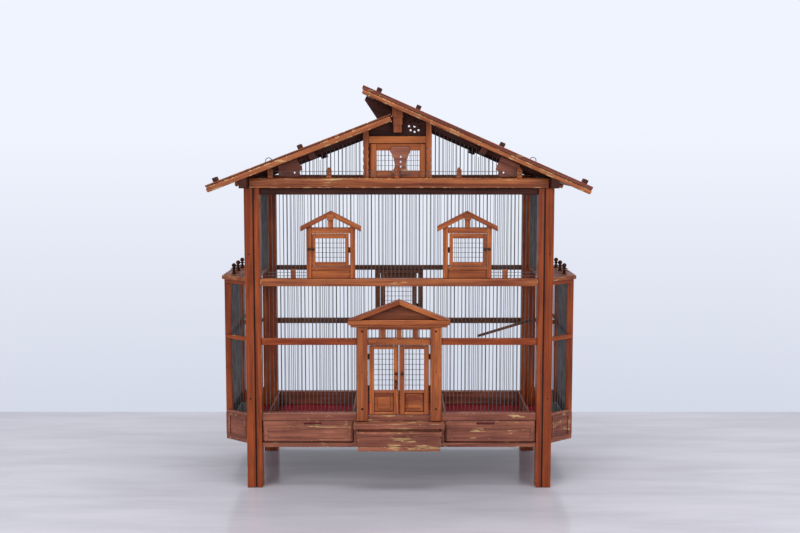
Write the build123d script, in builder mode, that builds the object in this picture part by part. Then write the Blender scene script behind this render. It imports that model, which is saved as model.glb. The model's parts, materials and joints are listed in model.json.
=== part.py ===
"""Wooden aviary on four legs, shaped like a chalet, in millimetres.

X runs to the right, -Y is the front with the doors, +Z is up. The origin is on
the floor, in the middle of the footprint.
"""

import math
import os

from build123d import *

os.makedirs("parts", exist_ok=True)

# ---- Driving dimensions: the body --------------------------------------------
body_width = 1004
body_depth = 510
post_size = 50
post_height = 992
groove_inset = 30
groove_width = 4
base_bottom = 136
base_top = 250
rim_height = 25
bottom_board_thickness = 5
bottom_rail_height = 15
floor_level = 174
floor_thickness = 4
rail_depth = 18
rail_setback = 5
mid_rail_bottom = 478
mid_rail_height = 21
shelf_bottom = 673
shelf_thickness = 24
shelf_overhang = 7
rear_mid_rail_bottom = 476
rear_mid_rail_height = 19
rear_upper_rail_bottom = 675
rear_upper_rail_height = 17
rear_board_top = 220
frieze_height = 22
cornice_height = 32
cornice_overhang = 14
glue_line = 0.2

# ---- Driving dimensions: wires -------------------------------------------------
wire_diameter = 2.0
wire_spacing = 13.0
mesh_wire = 1.2
mesh_spacing = 12.0
wire_setback = 25

# ---- Driving dimensions: bays --------------------------------------------------
bay_reach = 83
bay_half_length = 150
bay_mouth_half = 218
bay_post = 22
bay_bottom = 140
bay_base_top = 240
bay_panel = 12
bay_rail_height = 13
bay_mid_rail_bottom = 485
bay_slab_top = 697
bay_slab_thickness = 12
bay_slab_overhang = 8
bay_head_height = 13
finial_height = 36
finial_foot = 8
finial_bulb = 6.5
bay_wire_heights = (9, 18)
finial_spacing = 100

# ---- Driving dimensions: roof --------------------------------------------------
roof_overhang = 60
left_slope = 21.0
right_slope = 23.75
left_tip_x = -618
left_tip_top = 1001
right_tip_x = 618
right_tip_top = 996
left_ridge_x = -26
right_ridge_x = -113
left_board = 6
right_board = 12
barge_height = 18
barge_width = 18
purlin_size = 20
gable_rail_height = 12
gable_rail_width = 12
batten_width = 16
batten_height = 13

# ---- Driving dimensions: gable -------------------------------------------------
gable_left = -116
gable_right = 105
gable_post = 18
tie_bottom = 1136
tie_height = 22
window_bottom = 1030
window_top = 1134
window_stile = 20
railing_post = 16
railing_height = 34

# ---- Driving dimensions: portico and doors -------------------------------------
doorway_half = 103
pilaster_width = 36
pilaster_top = 538
sill_top = 243
lintel_bottom = 478
lintel_height = 21
transom_top = 529
cornice_half = 167
portico_cornice_height = 24
pediment_apex = 628
leaf_gap = 4
hinge_gap = 5
leaf_thickness = 14
leaf_top_gap = 3
leaf_stile = 16
panel_rail_top = 318
mesh_bottom = 326

# ---- Driving dimensions: dormers -----------------------------------------------
dormer_centre = 222
dormer_width = 158
dormer_post = 16
dormer_sill_bottom = 726
dormer_sill_height = 10
dormer_head_bottom = 845
dormer_head_height = 18
dormer_door_stile = 11
dormer_apex = 918
dormer_eave = 98
dormer_board = 15

# ---- Driving dimensions: ironwork ----------------------------------------------
knuckle_radius = 2.2
hinge_pin_radius = 1.0
pin_clearance = 0.06
hinge_height = 18
hinge_plate = 1.0
hook_thickness = 1.5
hook_pin_radius = 1.1
hook_screw_radius = 1.5
hook_eye_radius = 4.0
hook_slack = 0.2
hook_lead = 0.8

# ---- Driving dimensions: rear door, trays, steps -------------------------------
rear_door_half = 88
rear_jamb = 18
rear_door_bottom = 507
rear_door_top = 663
rear_door_stile = 17
tray_inner = 153
tray_outer = 449
tray_front_thickness = 14
tray_front_bottom = 156
tray_front_top = 223
tray_wall = 6
tray_running_gap = 0.3
tray_length = 470
step_reach = 48

# ---- Places worked out from the sizes above ------------------------------------
front = -body_depth / 2
rear = body_depth / 2
side = body_width / 2
post_inner_x = side - post_size
post_inner_y = rear - post_size
rail_front = front + rail_setback
rail_back = rail_front + rail_depth
wire_y = front + wire_setback
wire_x = side - wire_setback
wire_radius = wire_diameter / 2
shelf_top = shelf_bottom + shelf_thickness
mid_rail_top = mid_rail_bottom + mid_rail_height
frieze_bottom = post_height - frieze_height
cornice_top = post_height + cornice_height
cornice_front = front - cornice_overhang
bay_x = side + bay_reach
sides = ((-1, "left"), (1, "right"))
ends = ((-1, "front"), (1, "rear"))


# ---- Helpers -------------------------------------------------------------------
def bar(x0, x1, y0, y1, z0, z1, mode=Mode.ADD):
    """A squared bar between two corners, in the open part."""
    with Locations(((x0 + x1) / 2, (y0 + y1) / 2, (z0 + z1) / 2)):
        Box(abs(x1 - x0), abs(y1 - y0), abs(z1 - z0), mode=mode)


def fret(points, y0, y1, mode=Mode.ADD):
    """A board with the outline points (x, z), from y0 back to y1."""
    with BuildSketch(Plane.XZ.offset(-y0)) as outline:
        with BuildLine():
            Polyline(*points, close=True)
        make_face()
    extrude(outline.sketch, amount=y0 - y1, mode=mode)


def slab(points, z0, z1, mode=Mode.ADD):
    """A flat board with the plan points (x, y), from z0 up to z1."""
    with BuildSketch(Plane.XY.offset(z0)) as outline:
        with BuildLine():
            Polyline(*points, close=True)
        make_face()
    extrude(outline.sketch, amount=z1 - z0, mode=mode)


def rod(radius, start, end, mode=Mode.ADD):
    """A round rod between two points."""
    direction = Vector(*end) - Vector(*start)
    with BuildSketch(Plane(origin=start, z_dir=direction)) as section:
        Circle(radius)
    extrude(section.sketch, amount=direction.length, mode=mode)


def upright_wires(places, z0, z1):
    """Vertical wires at the plan places (x, y), from z0 up to z1."""
    with BuildSketch(Plane.XY.offset(z0)) as section:
        with Locations(*places):
            Circle(wire_radius)
    extrude(section.sketch, amount=z1 - z0)


def spread(low, high, spacing=wire_spacing):
    """Evenly spaced places between two members, near the given spacing."""
    count = max(1, round((high - low) / spacing) - 1)
    step = (high - low) / (count + 1)
    return [low + step * (number + 1) for number in range(count)]


def welded_mesh(x0, x1, y, z0, z1):
    """Crossed flat wires welded where they meet, in a plane facing the front."""
    for x in spread(x0, x1, mesh_spacing):
        bar(x - mesh_wire / 2, x + mesh_wire / 2, y, y + mesh_wire, z0, z1)
    half = mesh_wire / 2
    for z in spread(z0, z1, mesh_spacing * 1.4):
        bar(x0, x1, y + half, y + half + mesh_wire, z - half, z + half)


def ledged_frame(x0, x1, y0, y1, z0, z1, stile, low_rail, high_rail):
    """Two stiles and two rails, butted together."""
    bar(x0, x0 + stile, y0, y1, z0, z1)
    bar(x1 - stile, x1, y0, y1, z0, z1)
    inner = (x0 + stile + glue_line, x1 - stile - glue_line)
    bar(*inner, y0, y1, z0, z0 + low_rail)
    bar(*inner, y0, y1, z1 - high_rail, z1)


# ---- Posts and base ------------------------------------------------------------
with BuildPart() as corner_posts:
    for x_side, _ in sides:
        for y_side, _ in ends:
            bar(x_side * post_inner_x, x_side * side, y_side * post_inner_y, y_side * rear, 0, post_height)
            with BuildSketch(Plane.XY) as groove:
                with Locations((x_side * (side - groove_inset), y_side * rear)):
                    Rectangle(groove_width, groove_width, rotation=45)
            extrude(groove.sketch, amount=post_height, mode=Mode.SUBTRACT)
corner_posts.part.label = "corner_posts"
export_step(corner_posts.part, "parts/corner_posts.step")

rim_bottom = base_top - rim_height
board_top = base_bottom + bottom_rail_height
with BuildPart() as base_front_rails:
    bar(-post_inner_x, post_inner_x, rail_front, rail_back, base_bottom, board_top)
    bar(-post_inner_x, post_inner_x, rail_front, rail_back + 8, rim_bottom, base_top)
    bar(
        3 - tray_inner, tray_inner - 3, rail_front, rail_back,
        board_top + glue_line, rim_bottom - glue_line,
    )
    bar(
        -doorway_half, doorway_half, rail_front - 1, rail_back + 9, sill_top, base_top,
        mode=Mode.SUBTRACT,
    )
base_front_rails.part.label = "base_front_rails"
export_step(base_front_rails.part, "parts/base_front_rails.step")

with BuildPart() as base_back_board:
    bar(
        -post_inner_x, post_inner_x, rear - rail_setback - rail_depth, rear - rail_setback,
        base_bottom, rear_board_top,
    )
base_back_board.part.label = "base_back_board"
export_step(base_back_board.part, "parts/base_back_board.step")

back_board_front = rear - rail_setback - rail_depth
with BuildPart() as base_bottom_board:
    bar(-post_inner_x, post_inner_x, rail_back, back_board_front, board_top - bottom_board_thickness, board_top)
base_bottom_board.part.label = "base_bottom_board"
export_step(base_bottom_board.part, "parts/base_bottom_board.step")

floor_bottom = floor_level - floor_thickness
runner_x = tray_inner - 3
runner_width = 8


# ---- Bays ----------------------------------------------------------------------
def bay_outline(inset, x_side, mouth_x=side):
    """Plan points of a bay, drawn in by the inset, from its mouth round to its mouth."""
    slant = math.hypot(bay_reach, bay_mouth_half - bay_half_length)
    lean_x = inset * (bay_mouth_half - bay_half_length) / slant
    lean_y = inset * bay_reach / slant
    reach = bay_x - inset
    run = (bay_mouth_half - bay_half_length) / bay_reach
    corner_y = bay_half_length - lean_y + (inset - lean_x) * run
    mouth_y = corner_y + (reach - mouth_x) * run
    return [
        (x_side * mouth_x, -mouth_y),
        (x_side * reach, -corner_y),
        (x_side * reach, corner_y),
        (x_side * mouth_x, mouth_y),
    ]


def bay_band(x_side, outer, inner, z0, z1):
    """A band that follows the three faces of a bay, between two insets."""
    slab(bay_outline(outer, x_side) + bay_outline(inner, x_side)[::-1], z0, z1)


def bay_face_places(x_side, inset, face):
    """Wire places along one face of a bay: front, outer or rear."""
    points = bay_outline(inset, x_side)
    start, end = {"front": points[0:2], "outer": points[1:3], "rear": points[2:4]}[face]
    length = math.dist(start, end)
    clear = bay_post if face == "outer" else bay_post * 0.7
    shares = [place / length for place in spread(clear - wire_spacing, length - clear + wire_spacing)]
    return [
        (start[0] + (end[0] - start[0]) * share, start[1] + (end[1] - start[1]) * share)
        for share in shares
    ]


bay_head_bottom = bay_slab_top - bay_slab_thickness - bay_head_height
bay_wire_inset = bay_panel + wire_radius
with BuildPart() as bay_corner_posts:
    for x_side, _ in sides:
        for y_side, _ in ends:
            bar(
                x_side * (bay_x - bay_post), x_side * bay_x,
                y_side * (bay_half_length - bay_post + 2), y_side * (bay_half_length + 2),
                bay_bottom, bay_slab_top - bay_slab_thickness,
            )
bay_corner_posts.part.label = "bay_corner_posts"
export_step(bay_corner_posts.part, "parts/bay_corner_posts.step")

with BuildPart() as base_bay_panels:
    for x_side, _ in sides:
        bay_band(x_side, 0, bay_panel, bay_bottom, bay_base_top)
    add(bay_corner_posts.part, mode=Mode.SUBTRACT)
base_bay_panels.part.label = "base_bay_panels"
export_step(base_bay_panels.part, "parts/base_bay_panels.step")

with BuildPart() as fixed_floors:
    bar(-runner_x, runner_x, rail_back, back_board_front, floor_bottom, floor_level)
    for x_side, _ in sides:
        bar(
            x_side * (runner_x - runner_width), x_side * runner_x, rail_back, back_board_front,
            board_top, floor_bottom - glue_line,
        )
        slab(bay_outline(bay_panel, x_side), floor_bottom, floor_level)
        bar(
            x_side * (post_inner_x + 1), x_side * side,
            1 - post_inner_y, post_inner_y - 1,
            floor_bottom, floor_level,
        )
    add(bay_corner_posts.part, mode=Mode.SUBTRACT)
fixed_floors.part.label = "fixed_floors"
export_step(fixed_floors.part, "parts/fixed_floors.step")

with BuildPart() as bay_rails:
    for x_side, _ in sides:
        bay_band(x_side, 0, bay_panel, bay_mid_rail_bottom, bay_mid_rail_bottom + bay_rail_height)
        bay_band(
            x_side, 0, bay_panel + wire_diameter, bay_head_bottom, bay_slab_top - bay_slab_thickness,
        )
    add(bay_corner_posts.part, mode=Mode.SUBTRACT)
bay_rails.part.label = "bay_rails"
export_step(bay_rails.part, "parts/bay_rails.step")

with BuildPart() as bay_balconies:
    for x_side, _ in sides:
        over = bay_outline(-bay_slab_overhang, x_side)
        slab(over, bay_slab_top - bay_slab_thickness, bay_slab_top)
        bar(
            x_side * (wire_x - wire_radius - 4), x_side * side,
            -post_inner_y, post_inner_y,
            bay_slab_top - bay_slab_thickness, bay_slab_top,
        )
bay_balconies.part.label = "bay_balconies"
export_step(bay_balconies.part, "parts/bay_balconies.step")


def turned_finial(x, y, z):
    """A turned knob on a beaded stem, standing at a place."""
    neck = finial_height - 2 * finial_bulb
    with Locations((x, y, z + 2)):
        Cylinder(finial_foot, 4)
    with Locations((x, y, z + neck / 2)):
        Cylinder(4, neck)
    for height in bay_wire_heights:
        with Locations((x, y, z + height)):
            Cylinder(finial_foot, 3)
    with Locations((x, y, z + neck + finial_bulb - 1)):
        Sphere(finial_bulb + 1)


finial_x = bay_x - 25
with BuildPart() as bay_finials:
    for x_side, _ in sides:
        for step in (-1, 0, 1):
            turned_finial(x_side * finial_x, step * finial_spacing, bay_slab_top)
bay_finials.part.label = "bay_finials"
export_step(bay_finials.part, "parts/bay_finials.step")


# ---- Front and rear rails ------------------------------------------------------
portico_outer = doorway_half + pilaster_width
with BuildPart() as front_mid_rails:
    for x_side, _ in sides:
        bar(
            x_side * portico_outer, x_side * post_inner_x,
            rail_front, rail_back, mid_rail_bottom, mid_rail_top,
        )
front_mid_rails.part.label = "front_mid_rails"
export_step(front_mid_rails.part, "parts/front_mid_rails.step")

shelf_back = wire_y + wire_radius + 5
with BuildPart() as balcony_shelf:
    bar(-post_inner_x, post_inner_x, front - shelf_overhang, shelf_back, shelf_bottom, shelf_top)
    chamfer(balcony_shelf.edges().filter_by(Axis.X).group_by(Axis.Y)[0], 2)
balcony_shelf.part.label = "balcony_shelf"
export_step(balcony_shelf.part, "parts/balcony_shelf.step")

rear_rail_front = rear - rail_setback - rail_depth
rear_rail_back = rear - rail_setback
with BuildPart() as rear_rails:
    for low, height in (
        (rear_mid_rail_bottom, rear_mid_rail_height),
        (rear_upper_rail_bottom, rear_upper_rail_height),
    ):
        bar(-post_inner_x, post_inner_x, rear_rail_front, rear_rail_back, low, low + height)
rear_rails.part.label = "rear_rails"
export_step(rear_rails.part, "parts/rear_rails.step")

plate_inner = wire_x - wire_radius - 6
frieze_front = rear - 9
frieze_back = -wire_y + wire_radius + 0.5
with BuildPart() as top_plates:
    for x_side, _ in sides:
        bar(
            x_side * plate_inner, x_side * (side - 5),
            -post_inner_y, post_inner_y, frieze_bottom, post_height,
        )
    for y_side, _ in ends:
        bar(
            -post_inner_x, post_inner_x,
            y_side * frieze_front, y_side * frieze_back, frieze_bottom, post_height,
        )
top_plates.part.label = "top_plates"
export_step(top_plates.part, "parts/top_plates.step")

wall_plate = 25
plate_run = side + 8
plate_start = plate_run - wall_plate
cornice_half_length = plate_start - 1
with BuildPart() as cornices:
    for y_side, _ in ends:
        face = y_side * (rear + cornice_overhang)
        back = y_side * (rear - wire_setback - 6)
        with BuildSketch(Plane.YZ.offset(-cornice_half_length)) as moulding:
            with BuildLine():
                Polyline(
                    (back, post_height), (face - y_side * 8, post_height),
                    (face - y_side * 8, post_height + 7), (face - y_side * 3, post_height + 11),
                    (face, post_height + 14), (face, cornice_top - 4),
                    (face - y_side * 3, cornice_top), (back, cornice_top),
                    close=True,
                )
            make_face()
        extrude(moulding.sketch, amount=2 * cornice_half_length)
cornices.part.label = "cornices"
export_step(cornices.part, "parts/cornices.step")


# ---- Roof ----------------------------------------------------------------------
left_rise = math.tan(math.radians(left_slope))
right_fall = math.tan(math.radians(right_slope))
left_plane = Plane(
    origin=(left_tip_x, 0, left_tip_top),
    x_dir=(math.cos(math.radians(left_slope)), 0, math.sin(math.radians(left_slope))),
    z_dir=(0, -1, 0),
)
right_plane = Plane(
    origin=(right_tip_x, 0, right_tip_top),
    x_dir=(math.cos(math.radians(right_slope)), 0, -math.sin(math.radians(right_slope))),
    z_dir=(0, -1, 0),
)
left_run = (left_ridge_x - left_tip_x) / math.cos(math.radians(left_slope))
right_run = (right_tip_x - right_ridge_x) / math.cos(math.radians(right_slope))
roof_end = rear + roof_overhang
barge_inner = roof_end - barge_width


def left_top(x):
    """Height of the left roof's top surface."""
    return left_tip_top + (x - left_tip_x) * left_rise


def right_top(x):
    """Height of the right roof's top surface."""
    return right_tip_top + (right_tip_x - x) * right_fall


def left_under(x, depth=left_board):
    """Height of a surface parallel to the left roof, below its top."""
    return left_top(x) - depth / math.cos(math.radians(left_slope))


def right_under(x, depth=right_board):
    """Height of a surface parallel to the right roof, below its top."""
    return right_top(x) - depth / math.cos(math.radians(right_slope))


def roof_stick(plane, along, high, y0, y1, mode=Mode.ADD):
    """A stick square to a roof: from and to along it, from and to above it, and its ends."""
    with BuildSketch(plane.offset(-y0)) as section:
        with Locations(((along[0] + along[1]) / 2, (high[0] + high[1]) / 2)):
            Rectangle(along[1] - along[0], high[1] - high[0])
    extrude(section.sketch, amount=y0 - y1, mode=mode)


left_barge_depth = left_board + barge_height
right_barge_depth = right_board + barge_height - 4
board_pitch = 98
for plane, run, thickness, name in (
    (left_plane, left_run, left_board, "left"),
    (right_plane, -right_run, right_board, "right"),
):
    count = round(abs(run) / board_pitch)
    width = run / count
    with BuildPart() as roof_boards:
        for number in range(count):
            edges = sorted((number * width, (number + 1) * width))
            roof_stick(
                plane, (edges[0] + glue_line, edges[1] - glue_line), (-thickness, 0),
                -roof_end, roof_end,
            )
    roof_boards.part.label = f"roof_boards_{name}"
    export_step(roof_boards.part, f"parts/roof_boards_{name}.step")

with BuildPart() as barge_boards:
    for y0, y1 in ((-roof_end, -barge_inner), (barge_inner, roof_end)):
        roof_stick(left_plane, (0, left_run - 6), (-left_barge_depth, -left_board), y0, y1)
        roof_stick(right_plane, (6 - right_run, 0), (-right_barge_depth, -right_board), y0, y1)
    fillet(barge_boards.edges().filter_by(Axis.Y).group_by(Axis.X)[0].sort_by(Axis.Z)[0:2], 9)
barge_boards.part.label = "barge_boards"
export_step(barge_boards.part, "parts/barge_boards.step")

rail_y = -wire_y
rafter_half = gable_rail_width / 2
purlin_x = 292
ridge_board_x = left_ridge_x + 2
ridge_board_width = 12
left_purlin_along = (left_ridge_x - left_tip_x - 272) / math.cos(math.radians(left_slope))
right_purlin_along = -(right_tip_x - purlin_x) / math.cos(math.radians(right_slope))
left_stick = (left_purlin_along, left_purlin_along + purlin_size)
right_stick = (right_purlin_along - purlin_size, right_purlin_along)
left_seat = (-left_barge_depth - purlin_size, -left_barge_depth)
right_seat = (-right_barge_depth - purlin_size, -right_barge_depth)
with BuildPart() as roof_timbers:
    roof_stick(left_plane, left_stick, left_seat, -roof_end + 4, roof_end - 4)
    roof_stick(right_plane, right_stick, right_seat, -roof_end + 4, roof_end - 4)
    fret(
        [
            (-plate_run, post_height), (-plate_start, post_height),
            (-plate_start, left_under(-plate_start, left_barge_depth)),
            (-plate_run, left_under(-plate_run, left_barge_depth)),
        ],
        -roof_end + 4, roof_end - 4,
    )
    fret(
        [
            (plate_start, post_height), (plate_run, post_height),
            (plate_run, right_under(plate_run, right_barge_depth)),
            (plate_start, right_under(plate_start, right_barge_depth)),
        ],
        -roof_end + 4, roof_end - 4,
    )
    fret(
        [
            (ridge_board_x, left_under(ridge_board_x) - 30),
            (ridge_board_x + ridge_board_width, left_under(ridge_board_x) - 30),
            (ridge_board_x + ridge_board_width, right_under(ridge_board_x + ridge_board_width)),
            (ridge_board_x, right_under(ridge_board_x)),
        ],
        rafter_half - rail_y, rail_y - rafter_half,
    )
roof_timbers.part.label = "roof_timbers"
export_step(roof_timbers.part, "parts/roof_timbers.step")

left_foot = (-plate_run - left_tip_x) / math.cos(math.radians(left_slope))
right_foot = (right_tip_x - plate_run) / math.cos(math.radians(right_slope))
with BuildPart() as roof_rafters:
    for centre_y in (-rail_y, 0, rail_y):
        y0 = centre_y - rafter_half
        y1 = centre_y + rafter_half
        depth = gable_rail_height if centre_y else 0
        roof_stick(
            left_plane, (left_foot, left_run - 20), (-left_barge_depth - depth, -left_board), y0, y1,
        )
        roof_stick(
            right_plane, (45 - right_run, -right_foot), (-right_barge_depth - depth, -right_board), y0, y1,
        )
    add(roof_timbers.part, mode=Mode.SUBTRACT)
    add(cornices.part, mode=Mode.SUBTRACT)
roof_rafters.part.label = "roof_rafters"
export_step(roof_rafters.part, "parts/roof_rafters.step")

batten_left_places = (-590, -320)
batten_right_places = (-72, 52, 318, 582)
with BuildPart() as roof_battens:
    for x in batten_left_places:
        along = (x - left_tip_x) / math.cos(math.radians(left_slope))
        roof_stick(
            left_plane, (along, along + batten_width), (0, batten_height), -roof_end + 2, roof_end - 2,
        )
    for x in batten_right_places:
        along = (x - right_tip_x) / math.cos(math.radians(right_slope))
        roof_stick(
            right_plane, (along, along + batten_width), (0, batten_height), -roof_end + 2, roof_end - 2,
        )
roof_battens.part.label = "roof_battens"
export_step(roof_battens.part, "parts/roof_battens.step")

handle_radius = 10
handle_wire = 2.5
with BuildPart() as roof_handles:
    for plane, x, tip_x, angle in (
        (left_plane, -415, left_tip_x, left_slope), (right_plane, 426, right_tip_x, right_slope),
    ):
        along = (x - tip_x) / math.cos(math.radians(angle))
        centre = plane.from_local_coords((along, 0, roof_end - 20))
        bow_plane = Plane(origin=centre, x_dir=plane.x_dir, z_dir=plane.z_dir)
        with BuildLine(bow_plane) as bow:
            CenterArc((0, 0, 0), handle_radius, 0, 180)
        start = bow.line @ 0
        with BuildSketch(Plane(origin=start, z_dir=bow.line % 0)) as wire_section:
            Circle(handle_wire / 2)
        sweep(wire_section.sketch, path=bow.line)
roof_handles.part.label = "roof_handles"
export_step(roof_handles.part, "parts/roof_handles.step")


# ---- Gable ---------------------------------------------------------------------
gable_back = wire_y - rafter_half
gable_front = gable_back - 18
tie_top = tie_bottom + tie_height
post_left_inner = gable_left + gable_post
post_right_inner = gable_right - gable_post
notch_depth = 4
with BuildPart() as gable_frame:
    for y0, y1 in ((gable_front, gable_back), (-gable_back, -gable_front)):
        fret(
            [
                (gable_left, cornice_top), (post_left_inner, cornice_top),
                (post_left_inner, left_under(post_left_inner)), (gable_left, left_under(gable_left)),
            ],
            y0, y1,
        )
        fret(
            [
                (post_right_inner, cornice_top), (gable_right, cornice_top),
                (gable_right, right_under(gable_right)),
                (post_right_inner, right_under(post_right_inner)),
            ],
            y0, y1,
        )
    for edge in (gable_left, post_left_inner, post_right_inner, gable_right):
        for z in (cornice_top + 18, cornice_top + 42, cornice_top + 66, cornice_top + 90):
            bar(
                edge - notch_depth / 2, edge + notch_depth / 2, gable_front - 1, gable_back + 1,
                z, z + 10, mode=Mode.SUBTRACT,
            )
    bar(
        post_left_inner + glue_line, post_right_inner - glue_line, gable_front + 2, gable_back,
        tie_bottom, tie_top,
    )
    bar(
        post_left_inner + glue_line, post_right_inner - glue_line,
        rail_y + wire_radius + glue_line, -gable_front - 2, tie_bottom, tie_top,
    )
gable_frame.part.label = "gable_frame"
export_step(gable_frame.part, "parts/gable_frame.step")

pendant_left = -22
pendant_right = 13
pendant_bottom = tie_top + 12
pendant_tier = 24
with BuildPart() as king_pendant:
    for drop, shrink in ((0, 4), (1, 2), (2, 0)):
        low = pendant_bottom + drop * pendant_tier
        left_edge = pendant_left + shrink
        right_edge = pendant_right - shrink
        left_high = low + pendant_tier + 1
        right_high = left_high
        if drop == 2:
            left_high = right_under(left_edge)
            right_high = right_under(right_edge)
        fret(
            [(left_edge, low), (right_edge, low), (right_edge, right_high), (left_edge, left_high)],
            gable_front - 14 + 4 * (2 - drop), gable_back - 4,
        )
king_pendant.part.label = "king_pendant"
export_step(king_pendant.part, "parts/king_pendant.step")

vent_x = 50
vent_z = 1190
vent_ring = 18
vent_hole = 3.2
gusset_holes = ((-68, 1262), (-58, 1249), (-46, 1236))
ridge_high_x = right_ridge_x + 8
with BuildPart() as ridge_panels:
    for y0, y1 in ((gable_back - 4, gable_back), (-gable_back, 4 - gable_back)):
        fret(
            [
                (post_left_inner, tie_top), (post_right_inner, tie_top),
                (post_right_inner, right_under(post_right_inner, right_barge_depth)),
                (ridge_board_x, right_under(ridge_board_x, right_barge_depth)),
                (ridge_board_x, left_under(ridge_board_x, left_barge_depth)),
                (post_left_inner, left_under(post_left_inner, left_barge_depth)),
            ],
            y0, y1,
        )
    with BuildSketch(Plane.XZ.offset(-gable_back)) as rosette:
        with Locations((vent_x, vent_z)):
            Circle(vent_hole * 1.3)
            with PolarLocations(vent_ring, 8):
                Circle(vent_hole)
    extrude(rosette.sketch, amount=8, both=True, mode=Mode.SUBTRACT)
    for y0, y1 in ((gable_back - 4, gable_back), (-gable_back, 4 - gable_back)):
        fret(
            [
                (ridge_high_x, right_under(ridge_high_x, right_barge_depth)),
                (ridge_high_x - 6, right_under(ridge_high_x, right_barge_depth) - 12),
                (-70, left_top(-70) + 1),
                (ridge_board_x - 0.5, left_top(ridge_board_x) + 1),
                (ridge_board_x - 0.5, right_under(ridge_board_x, right_barge_depth)),
            ],
            y0, y1,
        )
        for x, z in gusset_holes:
            rod(2.2, (x, y0 - 1, z), (x, y1 + 1, z), mode=Mode.SUBTRACT)
ridge_panels.part.label = "ridge_panels"
export_step(ridge_panels.part, "parts/ridge_panels.step")

window_left = post_left_inner + 6
window_right = post_right_inner - 1
window_front = gable_front + 6
with BuildPart() as gable_window_frame:
    ledged_frame(
        window_left, window_right, window_front, gable_back,
        window_bottom - 6, window_top, window_stile, 24, 22,
    )
gable_window_frame.part.label = "gable_window_frame"
export_step(gable_window_frame.part, "parts/gable_window_frame.step")

with BuildPart() as gable_window_mesh:
    welded_mesh(
        window_left + window_stile + glue_line, window_right - window_stile - glue_line, gable_back - 5,
        window_bottom + 18, window_top - 22,
    )
gable_window_mesh.part.label = "gable_window_mesh"
export_step(gable_window_mesh.part, "parts/gable_window_mesh.step")

vase_x = 4
vase_low = window_bottom + 6
vase_waist = window_bottom + 42
vase_high = window_top - 10
fret_thickness = 5
bracket_inner = 312
bracket_outer = 368
bracket_low = cornice_top + 3
with BuildPart() as gable_fretwork:
    with BuildSketch(Plane.XZ.offset(-(window_front - fret_thickness))) as vase:
        for half in (-1, 1):
            with BuildLine():
                Line((vase_x, vase_low), (vase_x + half * 30, vase_low))
                Line((vase_x + half * 30, vase_low), (vase_x + half * 30, vase_low + 8))
                ThreePointArc(
                    (vase_x + half * 30, vase_low + 8),
                    (vase_x + half * 22, vase_low + 16),
                    (vase_x + half * 19, vase_waist),
                )
                ThreePointArc(
                    (vase_x + half * 19, vase_waist),
                    (vase_x + half * 24, vase_waist + 20),
                    (vase_x + half * 34, vase_high - 14),
                )
                Line((vase_x + half * 34, vase_high - 14), (vase_x + half * 27, vase_high))
                Line((vase_x + half * 27, vase_high), (vase_x, vase_high))
                Line((vase_x, vase_high), (vase_x, vase_low))
            make_face()
        with Locations((vase_x, vase_waist + 4), (vase_x, vase_waist + 20), (vase_x, vase_waist - 11)):
            Circle(3.6, mode=Mode.SUBTRACT)
    extrude(vase.sketch, amount=-fret_thickness)
    for x_side, roof_under, drop in ((-1, left_under, left_barge_depth), (1, right_under, right_barge_depth)):
        inner = x_side * bracket_inner
        outer = x_side * (bracket_outer + 22)
        fret(
            [
                (outer, bracket_low), (inner + x_side * 14, bracket_low),
                (inner + x_side * 8, bracket_low + 8), (inner + x_side * 10, bracket_low + 18),
                (inner, bracket_low + 24), (inner + x_side * 4, bracket_low + 34),
                (inner + x_side * 18, roof_under(inner + x_side * 18, drop) - 1),
                (outer, roof_under(outer, drop) - 1),
            ],
            gable_back - fret_thickness, gable_back,
        )
        hole_x = inner + x_side * 26
        rod(
            3, (hole_x, gable_back - 7, bracket_low + 14), (hole_x, gable_back + 1, bracket_low + 14),
            Mode.SUBTRACT,
        )
gable_fretwork.part.label = "gable_fretwork"
export_step(gable_fretwork.part, "parts/gable_fretwork.step")


# ---- Railings ------------------------------------------------------------------
railing_front = cornice_front + 3
railing_back = railing_front + 10
shelf_railing_front = rail_front - 2
top_railing_places = (-415, -225, -7, 193, 388)
shelf_railing_x = 345
shelf_railing_height = 30
railing_wire = 1.6
railing_wire_y = railing_front - railing_wire / 2 - 0.1
shelf_wire_y = shelf_railing_front - railing_wire / 2 - 0.1
railing_ends = (top_railing_places[0] - railing_post / 2, top_railing_places[-1] + railing_post / 2)
with BuildPart() as railing_posts:
    for x in top_railing_places:
        with BuildSketch(Plane.XY.offset(cornice_top)) as foot:
            with Locations((x, (railing_front + railing_back) / 2)):
                Rectangle(railing_post, railing_back - railing_front)
        extrude(foot.sketch, amount=railing_height - 6)
        extrude(foot.sketch, amount=railing_height, taper=6)
    for x in (-shelf_railing_x, shelf_railing_x):
        bar(
            x - railing_post / 2, x + railing_post / 2,
            shelf_railing_front, shelf_railing_front + 10,
            shelf_top, shelf_top + shelf_railing_height,
        )
railing_posts.part.label = "railing_posts"
export_step(railing_posts.part, "parts/railing_posts.step")

dormer_outer = dormer_centre + dormer_width / 2
dormer_inner = dormer_centre - dormer_width / 2
with BuildPart() as railing_wires:
    for height in (10, 21):
        z = cornice_top + height
        rod(railing_wire / 2, (railing_ends[0], railing_wire_y, z), (railing_ends[1], railing_wire_y, z))
        for x_side, _ in sides:
            rod(
                railing_wire / 2,
                (x_side * dormer_outer, shelf_wire_y, shelf_top + height),
                (x_side * post_inner_x, shelf_wire_y, shelf_top + height),
            )
    bay_wire_x = finial_x + finial_foot + railing_wire / 2 + 0.15
    for height in bay_wire_heights:
        for x_side, _ in sides:
            rod(
                railing_wire / 2,
                (x_side * bay_wire_x, -finial_spacing - 20, bay_slab_top + height),
                (x_side * bay_wire_x, finial_spacing + 20, bay_slab_top + height),
            )
railing_wires.part.label = "railing_wires"
export_step(railing_wires.part, "parts/railing_wires.step")


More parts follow.
